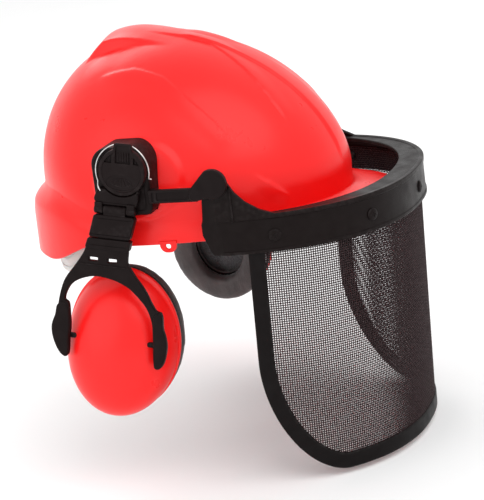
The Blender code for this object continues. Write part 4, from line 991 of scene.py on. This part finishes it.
def build_cup_inside(name, side, cup):
    """Back plate, a flat oval ring with rounded edges, and the foam inside the cup."""
    body, (low, high) = f"cup_{name}", (91.5, 94.8)
    ring = plate(oval(42.4, 53, 128), high - low, 0.9,
                 (side * ((low + high) / 2 - TILT_OUT), 0, CUP_LEVEL), holes=[oval(24, 34, 128)])
    piece(f"back_plate_{name}", ring, BLACK, body, f"cup_plate_{name}", matrix=cup)
    turns, level = around(96), CUP_LEVEL - 2
    rows = []
    for share, out in ((0.4, 98.2), (0.75, 98.0), (0.93, 98.6), (1.0, 100), (1.0, 105),
                       (0.97, 108), (0.9, 109)):
        wave = 0.5 * np.sin(9 * turns) * (share < 0.9)
        rows.append(np.stack([side * (out + wave - TILT_OUT), 29 * share * np.cos(turns),
                              level + 40 * share * np.sin(turns)], axis=-1))
    foam = poled(rows, *((side * (out - TILT_OUT), 0, level) for out in (98.6, 109)))
    piece(f"damping_foam_{name}", foam, FOAM, body, f"cup_foam_{name}", matrix=cup, sharp=60)


# --- Visor ---


class Plan:
    """The visor's outline in plan, by arc length in mm from the middle of the front."""

    def __init__(self):
        turns = np.linspace(-math.pi / 2, math.pi / 2, 4001)
        c, s = np.cos(turns), np.sin(turns)
        self.across = VISOR_HALF_WIDTH * np.sign(s) * np.abs(s) ** (2 / VISOR_POWER)
        self.ahead = VISOR_CENTRE + VISOR_REACH * np.abs(c) ** (2 / VISOR_POWER)
        arc = np.concatenate([[0], np.cumsum(np.hypot(np.diff(self.across), np.diff(self.ahead)))])
        self.arc = arc - arc[-1] / 2
        self.half = arc[-1] / 2

    def spot(self, arc):
        return np.stack([np.interp(arc, self.arc, self.across),
                         np.interp(arc, self.arc, self.ahead)], axis=-1)

    def points(self, arc, level, out=0.0):
        """Points at arc lengths, heights and distances outwards, all mm."""
        arc, level, out = np.broadcast_arrays(*(np.asarray(v, float) for v in (arc, level, out)))
        along = (self.spot(np.minimum(arc + 1, self.half))
                 - self.spot(np.maximum(arc - 1, -self.half)))
        along /= np.linalg.norm(along, axis=-1)[..., None]
        spot = self.spot(arc)
        return np.stack([spot[..., 0] - out * along[..., 1], -(spot[..., 1] + out * along[..., 0]),
                         level], axis=-1)

    def sheet(self, arc, level, out=0.0):
        """Points of the mesh sheet, which hangs inside the band and rakes back as it drops."""
        spots = self.points(arc, level, np.asarray(out, float) - SHEET_INSET)
        spots[..., 1] += (STUD_HEIGHT - spots[..., 2]) * SHEET_RAKE
        return spots


PLAN = Plan()


def ear_top(ahead):
    marks = (VISOR_CENTRE - 0.01, 45.2, 47, 49, 52.5, 57, 61, 64, 66, 70, 77, 86, 96)
    tops = (17.5, 21, 40, 51, 54.8, 56, 54.8, 51.5, 46, 39, 31.5, 25.5, BAND_TOP + 0.6)
    return float(np.interp(ahead, marks, tops))


def band_section(arc):
    """Rounded wall with an inward lip, a bead along its top edge and one along its foot."""
    ahead = PLAN.spot(arc)[1]
    top = ear_top(ahead)
    foot = float(np.interp(ahead, (VISOR_CENTRE, 50), (9, BAND_BOTTOM)))
    lip_top = min(BAND_TOP, top - 0.6)
    share = max(0.0, (ahead - LIP_START) / (VISOR_CENTRE + VISOR_REACH - LIP_START))
    lip = BAND_WALL + 0.3 + LIP_DEPTH * share ** 0.8
    wall = BAND_WALL
    bead = 0.7 * float(smoothstep(48, 56, ahead))
    foot_bead = 0.7 * float(smoothstep(52, 60, ahead))
    outline = (
        (foot_bead, foot + 2.2), (0, foot + 2.8), (0, lip_top - 3.2), (bead, lip_top - 2.4),
        (bead, top - 0.5), (bead - 0.5, top), (0.6 - wall, top), (-wall, top - 0.4),
        (-wall, lip_top), (0.5 - lip, lip_top), (-lip, lip_top - 0.5), (-lip, lip_top - 2.5),
        (0.5 - lip, lip_top - 3), (-wall, lip_top - 3), (-wall, foot + 0.5), (0.5 - wall, foot),
        (foot_bead - 0.5, foot), (foot_bead, foot + 0.5))
    return PLAN.points(arc, [level for _, level in outline], [out for out, _ in outline])


def build_visor_frame():
    ends = [0, 0.4, 1.2, 2, 3, 3.3, 3.6, *np.arange(4.2, 60, 1.1)]
    left = [end - PLAN.half for end in ends]
    arcs = [*left, *np.linspace(61 - PLAN.half, PLAN.half - 61, 170), *(-a for a in left[::-1])]
    band = skinned([band_section(arc) for arc in arcs])
    band = cut(band, rod(3.3, 300, (0, -VISOR_PIVOT[0], VISOR_PIVOT[1])))
    for side in (-1, 1):
        x, _ = PLAN.spot(side * (PLAN.half - 14))
        band = united(band, slab((1.1, 1.4, 26), (x + side * 0.2, -67.5, 31), edge=0.3))
    piece("visor_band", band, BAND_BLACK, "visor", "visor_frame", sharp=40)


def sheet_foot(arc):
    over = np.clip((np.abs(arc) - (SHEET_HALF_ARC - CORNER_WIDTH)) / CORNER_WIDTH, 0, 1)
    return SHEET_BOTTOM + CORNER_HEIGHT * (1 - (1 - over ** CORNER_POWER) ** (1 / CORNER_POWER))


def wires(paths):
    """Square-section wires along paths of centre points, each with a direction across it."""
    points, faces = [], []
    for path, across in paths:
        along = np.gradient(path, axis=0)
        along /= np.linalg.norm(along, axis=1)[:, None]
        normal = np.cross(along, across)
        normal /= np.linalg.norm(normal, axis=1)[:, None]
        binormal = np.cross(along, normal)
        rings = np.stack([path + WIRE_GAUGE * (a * normal + b * binormal)
                          for a, b in ((1, 0), (0, 1), (-1, 0), (0, -1))], axis=1)
        start, count = len(points), len(path)
        faces += skin_faces(count, 4, offset=start)
        faces += [[start + 3, start + 2, start + 1, start],
                  [start + 4 * count - 4 + k for k in range(4)]]
        points += rings.reshape(-1, 3).tolist()
    return raw(points, faces)


def build_visor_mesh():
    """Plain-woven wire: each wire passes over and under the ones it crosses."""
    arcs = np.arange(-SHEET_HALF_ARC + 1, SHEET_HALF_ARC - 1, WIRE_PITCH)
    levels = np.arange(SHEET_BOTTOM + 1, SHEET_TOP, WIRE_PITCH)
    foot = sheet_foot(arcs) + 0.5
    upright, level_wires = [], []
    for i, arc in enumerate(arcs):
        inside = np.nonzero(levels > foot[i])[0]
        out = WIRE_GAUGE * np.where((inside + i) % 2, 1, -1)
        outward = PLAN.points(arc, 0, 1) - PLAN.points(arc, 0, 0)
        upright.append((PLAN.sheet(arc, levels[inside], out), outward))
    for k, level in enumerate(levels):
        inside = np.nonzero(foot < level)[0]
        out = WIRE_GAUGE * np.where((inside + k) % 2, -1, 1)
        level_wires.append((PLAN.sheet(arcs[inside], level, out), (0, 0, 1)))
    piece("mesh_upright_wires", wires(upright), WIRE, "visor", "visor_mesh", sharp=180)
    piece("mesh_cross_wires", wires(level_wires), WIRE, "visor", sharp=180)


def trim_path():
    """(arc, level, inward direction) round the sheet's lower edge, end to end."""
    flat = SHEET_HALF_ARC - CORNER_WIDTH
    corner = flat + CORNER_WIDTH * np.sin(np.radians(np.linspace(0, 90, 46)))
    arcs = np.concatenate([-corner[::-1], np.linspace(-flat, flat, 90)[1:-1], corner])
    rise = np.linspace(BAND_BOTTOM + 4, SHEET_BOTTOM + CORNER_HEIGHT, 30)[:-1]
    points = np.array([*((arcs[0], level) for level in rise), *zip(arcs, sheet_foot(arcs)),
                       *((arcs[-1], level) for level in rise[::-1])])
    path = []
    for i, (arc, level) in enumerate(points):
        along = points[min(i + 2, len(points) - 1)] - points[max(i - 2, 0)]
        along /= np.hypot(*along)
        path.append((arc, level, (-along[1], along[0])))
    return path


def build_visor_trim():
    """Extruded edge binding, rounded outside, its two lips closing on the mesh."""
    t, w = TRIM_HALF_THICKNESS, TRIM_WIDTH
    lip = [(1, t), (w - 2, t * 0.92), (w - 0.6, t * 0.8), (w, t * 0.45), (w - 0.3, 0.75),
           (w - 2, 0.8), (0.3, 0.8)]
    section = [(-2 + 1.6 * (1 - math.cos(a)), t * math.sin(a))
               for a in np.radians(np.linspace(-75, 75, 7))]
    inwards, outs = np.array(section + lip + [(a, -b) for a, b in lip[::-1]]).T
    rows = [PLAN.sheet(arc + inward * inwards, level + up * inwards, outs)
            for arc, level, (inward, up) in trim_path()]
    piece("visor_binding", skinned(rows), TRIM_BLACK, "visor", "visor_trim", sharp=40)


def build_studs():
    """Snap studs: a low domed head with a driver cross, and a barbed stem behind."""
    back = -(SHEET_INSET + 0.5) - 0.3
    profile = [(0, 1.9), (1.5, 1.85), (3, 1.6), (4.1, 1.1), (4.5, 0.5), (4.5, 0.3), (2, 0.3),
               (2, back), (3.6, back), (3.4, back - 0.5), (2.2, back - 1.6), (0, back - 1.6)]
    for k, arc in enumerate(STUD_ARCS, 1):
        spot = PLAN.points(arc, STUD_HEIGHT)
        way = Vector(PLAN.points(arc, STUD_HEIGHT, 1.0) - spot)
        place = Matrix.Translation(spot) @ way.to_track_quat("Z", "Y").to_matrix().to_4x4()
        stud = turned(profile, place, 48)
        for size in ((3.6, 0.7, 1.2), (0.7, 3.6, 1.2)):
            notch = slab(size, (0, 0, 2.0), edge=0.1)
            notch.data.transform(place)
            stud = cut(stud, notch)
        piece(f"snap_stud_{k}", stud, BAND_BLACK, "visor", f"visor_stud_{k}")


def build_link(name, side):
    """Channelled bar from the adapter to the thick teardrop boss of the visor hinge."""
    pivot_f, pivot_z = VISOR_PIVOT
    drop = shifted(arc_points(10.6, -112, 118, 40), pivot_f, pivot_z)
    drop += [Vector(p) for p in ((41.8, 45.6), (40, 42.4), (39.4, 39), (40.4, 36.4), (43, 35.4))]
    boss = plate(drop, 5.4, 1.5, (side * (LINK_OUT + 0.2), 0, 0), rounds=5)
    start, face = ADAPTER_FRONT + 0.3, (side * (LINK_OUT + 1.6), 0, 0)
    bar = plate(oblong(start, 46, 35.2, 44.8, 1.4, 4), 4.2, 0.9, (side * (LINK_OUT - 0.4), 0, 0))
    bar = cut(bar, plate(oblong(start + 6, 38, 37, 43, 0.6, 4), 1.6, 0.4, face),
              plate(oblong(start + 2.4, start + 4, 36.6, 43.4, 0.4, 3), 1.2, 0.2, face))
    heel = slab((7, 5, 8.8), (side * 121, -start - 2.5, 40), edge=0.8)
    piece(f"link_{name}", united(boss, bar, heel), BLACK, "helmet", f"visor_link_{name}")
    inner, outer = 117.9, LINK_OUT + 2.2
    profile = [(0, outer), (2.4, outer), (3, outer - 0.6), (3, inner - 0.3), (5, inner - 0.3),
               (5, inner - 1.2), (4.6, inner - 1.6), (0, inner - 1.6)]
    pin = turned(profile, along_x((0, -pivot_f, pivot_z), side), 48)
    piece(f"hinge_stud_{name}", pin, BLACK, "helmet", f"visor_pin_{name}")


# --- Harness ---


def band_plan(forward_end, out=0.0):
    """Plan points of the headband, from one side end round the front to the other."""
    half, bend = BAND_HALF_WIDTH, 20
    turns = np.radians(np.linspace(180, 0, 120))
    front = np.stack([(half + out) * bulge(np.cos(turns), 0.9),
                      bend + (BAND_FRONT + out - bend) * bulge(np.sin(turns), 0.9)], axis=-1)
    straight = np.linspace(forward_end, bend, 16)[:-1]
    left = np.stack([np.full(15, -half - out), straight], axis=-1)
    return np.concatenate([left, front, left[::-1] * (-1, 1)])


def ribbon(inner, outer, levels, soft=0.3):
    """A strip between two plan lines, with rounded edges; levels are (low, high) pairs."""
    levels = np.broadcast_to(levels, (len(inner), 2))
    rows = []
    for (xa, fa), (xb, fb), (low, high) in zip(inner, outer, levels):
        section = ((1, low + soft), (1, high - soft), (0.7, high), (0.3, high), (0, high - soft),
                   (0, low + soft), (0.3, low), (0.7, low))
        rows.append([(xa + (xb - xa) * share, -(fa + (fb - fa) * share), level)
                     for share, level in section])
    return skinned(rows)


def build_headband():
    """Band with adjuster slots and two raised ribs."""
    low, high = HEADBAND_LEVELS
    band = ribbon(band_plan(-41), band_plan(-41, 1.6), (low, high), 0.4)
    slots = (slab((5, 3.2, 12), (side * (BAND_HALF_WIDTH + 0.8), -f, 11))
             for side in (-1, 1) for f in (-34, -26, -4, 6))
    piece("head_band", cut(band, *slots), MILKY, "helmet", "headband")
    ribs = [ribbon(band_plan(-39, 1.5), band_plan(-39, 2.3), (foot, foot + 1.4))
            for foot in (low + 3, high - 4.4)]
    piece("head_band_ribs", joined(*ribs), MILKY, "helmet")


def build_sweatband():
    """Padded strip inside the headband's front, pinched where it is stitched."""
    plan = band_plan(0, -2.0)[22:-22]
    steps = np.diff(plan, axis=0, prepend=plan[:1] * 2 - plan[1:2])
    steps /= np.linalg.norm(steps, axis=1)[:, None]
    aside = np.stack([steps[:, 1], -steps[:, 0]], axis=-1)
    low, high = HEADBAND_LEVELS
    middle, half = (low + high) / 2, (high - low) / 2 - 1
    rows = []
    for spot, way, share in zip(plan, aside, np.linspace(0, 1, len(plan))):
        ends = 0.4 + 0.6 * float(smoothstep(0, 0.03, min(share, 1 - share)))
        pinch = 0.82 + 0.18 * abs(math.sin(share * math.pi * 14))
        row = []
        for t in around(24):
            thick = 1.55 * bulge(math.cos(t), 0.7) * (pinch if math.cos(t) > 0 else 1) * ends
            x, forward = spot + thick * way
            row.append((x, -forward, middle + half * bulge(math.sin(t), 0.8)))
        rows.append(row)
    piece("sweat_band", skinned(rows), SWEAT_FOAM, "helmet", "sweatband", sharp=60)
    seam = plan + 1.9 * aside
    stitches = [tube([(x, -forward, level) for x, forward in seam[i:i + 2]], 0.3, 1)
                for level in (low + 3.2, high - 3.2) for i in range(3, len(plan) - 4, 2)]
    piece("sweat_band_stitches", joined(*stitches), THREAD, "helmet")


def nape_plan(out=0.0):
    half, bend = BAND_HALF_WIDTH + 2.2 + out, -48
    turns = np.radians(np.linspace(180, 360, 90))
    curve = np.stack([half * bulge(np.cos(turns), 0.87),
                      bend - (NAPE_REAR - out - bend) * bulge(np.sin(turns), 0.87)], axis=-1)
    ends = (-14, -22, -30)
    return np.concatenate([[(-half, f) for f in ends], curve, [(half, f) for f in ends[::-1]]])


def build_nape_strap():
    """Strap that drops towards the nape, with three raised ribs."""
    inner = nape_plan()
    drop = 1 - smoothstep(-88, -45, inner[:, 1])
    levels = np.stack([-1 - 29 * drop, 20 - 24 * drop], axis=-1)
    strap = ribbon(inner, nape_plan(1.5), levels, 0.4)
    piece("nape_band", strap, MILKY, "nape", "nape_strap")
    ribs = [ribbon(nape_plan(1.4), nape_plan(2.0), levels[:, :1] + (k, k + 1.2))
            for k in (3, 9.6, 16)]
    piece("nape_band_ribs", joined(*ribs), MILKY, "nape")


def wheel(count, radius):
    """An outline round the knob's axis, its radius a function of the angle."""
    return [Vector((radius(a) * math.cos(a), KNOB_HEIGHT + radius(a) * math.sin(a)))
            for a in around(count)]


def build_ratchet():
    """Housing with a rounded cover, the toothed pinion and a grooved knob."""
    back = -NAPE_REAR + 1.8

    def bar(radius, length, ahead):
        return rod(radius, length, (0, back + ahead, KNOB_HEIGHT), "Y")

    outline = rounded(((-27, -33, 6), (27, -33, 6), (24, -9, 6), (-24, -9, 6)), 8)
    housing = cut(plate(outline, 5.5, 1.4, (0, back + 2.75, 0), CROSSWISE),
                  bar(7.4, 8, 0), bar(3.3, 40, 0))
    piece("nape_housing", housing, MILKY, "nape", "ratchet_housing")
    teeth = wheel(96, lambda a: 6.2 + 0.6 * math.tanh(3 * math.cos(12 * a)))
    gear = united(plate(teeth, 3, 0.3, (0, back + 2, 0), CROSSWISE), bar(3, 8.2, 5.4))
    piece("toothed_pinion", gear, MILKY, "knob", "ratchet_pinion")
    grip = wheel(144, lambda a: 9.1 + 0.4 * math.cos(18 * a))
    knob = cut(plate(grip, 6, 1.0, (0, back + 8.8, 0), CROSSWISE),
               bar(5.6, 2, 12), bar(3.3, 9, 5.5))
    piece("adjuster_knob", knob, BLACK, "knob", "ratchet_knob")


def strap_arch(azimuth, lift):
    """Centre line of a crown strap: (distance along its azimuth, height)."""
    reach = 81 + (1 - abs(math.cos(math.radians(azimuth)))) * 10
    turns = np.radians(np.linspace(0, 180, 120))
    return np.stack([reach * bulge(np.cos(turns), 0.75),
                     30 + (80 + lift) * np.abs(np.sin(turns)) ** 0.8], axis=-1)


def build_crown_straps():
    """Woven straps over the crown, each with two lines of stitching at its ends."""
    half, thick = STRAP_WIDTH / 2, STRAP_THICKNESS / 2
    section = ((-half, 0), (-half + 0.4, -thick), (half - 0.4, -thick), (half, 0),
               (half - 0.4, thick), (half - 1.6, thick), (half - 2, thick * 0.6),
               (-half + 2, thick * 0.6), (-half + 1.6, thick), (-half + 0.4, thick))
    for index, (name, azimuth) in enumerate(STRAP_AZIMUTHS.items()):
        across = Vector((math.cos(math.radians(azimuth)), math.sin(math.radians(azimuth)), 0))
        wide = Vector((-across.y, across.x, 0))
        line = strap_arch(azimuth, index * (STRAP_THICKNESS + 0.5))
        slopes = np.gradient(line, axis=0)
        slopes /= np.linalg.norm(slopes, axis=1)[:, None]
        frames = [(Vector((0, STRAP_CENTRE_BACK, level)) + across * reach,
                   across * climb - Vector((0, 0, run)))
                  for (reach, level), (run, climb) in zip(line, slopes)]
        rows = [[spot + wide * a + up * b for a, b in section] for spot, up in frames]
        piece(f"webbing_{name}", skinned(rows), WEBBING, "helmet", f"crown_strap_{name}", sharp=50)
        threads = []
        for spot, up in (frames[k] for k in (4, 6, 8, -5, -7, -9)):
            spot = spot + up * (thick + 0.1)
            threads += [tube([spot + wide * a, spot + wide * (a + 1.7)], 0.28, 1)
                        for a in np.arange(-8, 7.9, 2.6)]
        piece(f"webbing_stitches_{name}", joined(*threads), THREAD, "helmet")


def build_clips():
    """Clips that carry the straps' ends and hook into the shell's inner wall."""
    centre, level = Vector((0, STRAP_CENTRE_BACK, 0)), 36
    for index, azimuth in enumerate(STRAP_AZIMUTHS.values(), 1):
        start = strap_arch(azimuth, 0)[0][0] + 1.2
        for end, half_turn in (("a", 0), ("b", math.pi)):
            low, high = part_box(f"harness_clip_{index}{end}")
            turn = math.radians(azimuth) + half_turn
            across = Vector((math.cos(turn), math.sin(turn), 0))
            corner = max((Vector((x, y, 0)) / MM - centre).dot(across)
                         for x in (low.x, high.x) for y in (low.y, high.y))
            reach = corner - 4.5 * abs(math.sin(2 * turn)) - (0.8 if azimuth == 0 else 3.4)
            length = max(reach - start, 6)
            middle = start + length / 2
            clip = united(
                slab((length - 0.8, 15, 3), (middle, 0, level - 4.4), edge=0.7),
                slab((3, 16, 12), (start + 1.5, 0, level), edge=0.8),
                slab((3, 14, 9), (start + length - 1.5, 0, level - 1.1), edge=0.8))
            for y in (-4.5, 4.5):
                clip = cut(clip, slab((length - 8, 4, 8), (middle, y, level - 4)))
            clip.data.transform(Matrix.Translation(centre) @ Matrix.Rotation(turn, 4, "Z"))
            piece(f"strap_clip_{index}{end}", clip, MILKY, "helmet", f"harness_clip_{index}{end}")


def build_crown_pad():
    """Round foam pad, swollen as cloth and held flat where it rests on the head."""
    profile = [(0, 4.6), (28, 4.6), (33, 4.2), (35.2, 2.6), (35, 1.0), (33.5, 0.4), (0, 0.4)]
    pad = swollen(turned(profile, steps=72), 1.6, 0.9)
    points = points_of(pad)
    far = np.hypot(points[:, 0], points[:, 1])
    seam = np.exp(-((far - 24) / 1.3) ** 2) + np.exp(-((far - 11) / 1.2) ** 2)
    dimples = 0.9 * seam * smoothstep(1.5, 4, points[:, 2])
    points[:, 2] = np.clip(points[:, 2] - dimples, 0.02, 5.4) + HEAD_REST
    set_points(pad, points)
    piece("padded_crown", pad, SWEAT_FOAM, "helmet", "crown_pad", sharp=60)


# --- Assembly ---


build_shell()
for side_name, side_way in SIDES.items():
    arm_frame, fork_frame, cup_frame = side_frames(side_name, side_way)
    build_adapter(side_name, side_way)
    for build in (build_disc, build_spring, build_hub):
        build(side_name, side_way, arm_frame)
    build_sleeve(side_name, fork_frame)
    build_yoke(side_name, side_way, fork_frame)
    for build in (build_cup, build_cup_inside, build_cushion):
        build(side_name, side_way, cup_frame)
    build_link(side_name, side_way)
for build in (build_visor_frame, build_visor_mesh, build_visor_trim, build_studs, build_headband,
              build_sweatband, build_nape_strap, build_ratchet, build_crown_straps, build_clips,
              build_crown_pad):
    build()


# --- Floor, light and camera ---


TARGET = Vector((0, -0.034, RIM_Z + 0.021))
AZIMUTH, ELEVATION, ROLL = math.radians(289.1), math.radians(13.2), math.radians(7.4)
DISTANCE, LENS, SENSOR = 1.44, 137.0, 36
AIM_RIGHT, AIM_UP = math.radians(-0.09), math.radians(2.24)
FLOOR_HALF, FLOOR_GAP = 40, 0.004


def build_floor():
    corners = ((-1, -1), (1, -1), (1, 1), (-1, 1))
    floor = raw([(FLOOR_HALF * x, FLOOR_HALF * y, 0) for x, y in corners], [(0, 1, 2, 3)])
    floor.name = "floor"
    floor.location = (0, 0, CAD_BOX[0][2] - FLOOR_GAP)
    look = Look("floor_white", (0.93, 0.93, 0.93), 0.75)
    look.colour(look.noise(3, 2), (0.92, 0.92, 0.92), (0.95, 0.95, 0.95))
    floor.data.materials.append(look.material)


def area_light(name, location, size, power):
    light = bpy.data.lights.new(name, "AREA")
    light.shape = "DISK"
    light.size = size
    light.energy = power
    made = placed(name, light)
    made.location = location
    made.rotation_euler = (made.location - TARGET).to_track_quat("Z", "Y").to_euler()


def build_light():
    scene = bpy.context.scene
    scene.world = bpy.data.worlds.new("studio")
    scene.view_settings.view_transform = "Standard"
    scene.world.use_nodes = True
    background = scene.world.node_tree.nodes["Background"]
    background.inputs["Color"].default_value = (1, 1, 1, 1)
    background.inputs["Strength"].default_value = 1.0
    area_light("key", (-0.9, -1.2, 1.6), 2.2, 16)
    area_light("fill", (-1.6, 0.9, 0.7), 2.0, 7)
    area_light("rim", (1.2, 1.0, 1.3), 1.2, 8)


def build_camera():
    """Looks along the view direction, then turns so that the target lands off centre."""
    data = bpy.data.cameras.new("camera")
    data.lens, data.sensor_width, data.clip_end = LENS, SENSOR, 100
    camera = bpy.context.scene.camera = placed("camera", data)
    back = Vector((math.sin(AZIMUTH) * math.cos(ELEVATION),
                   -math.cos(AZIMUTH) * math.cos(ELEVATION), math.sin(ELEVATION)))
    turn = back.to_track_quat("Z", "Y").to_matrix() @ Matrix.Rotation(-ROLL, 3, "Z")
    aim = Matrix.Rotation(AIM_RIGHT, 3, "Y") @ Matrix.Rotation(-AIM_UP, 3, "X")
    camera.matrix_world = Matrix.Translation(TARGET + back * DISTANCE) @ (turn @ aim).to_4x4()


build_floor()
build_light()
build_camera()
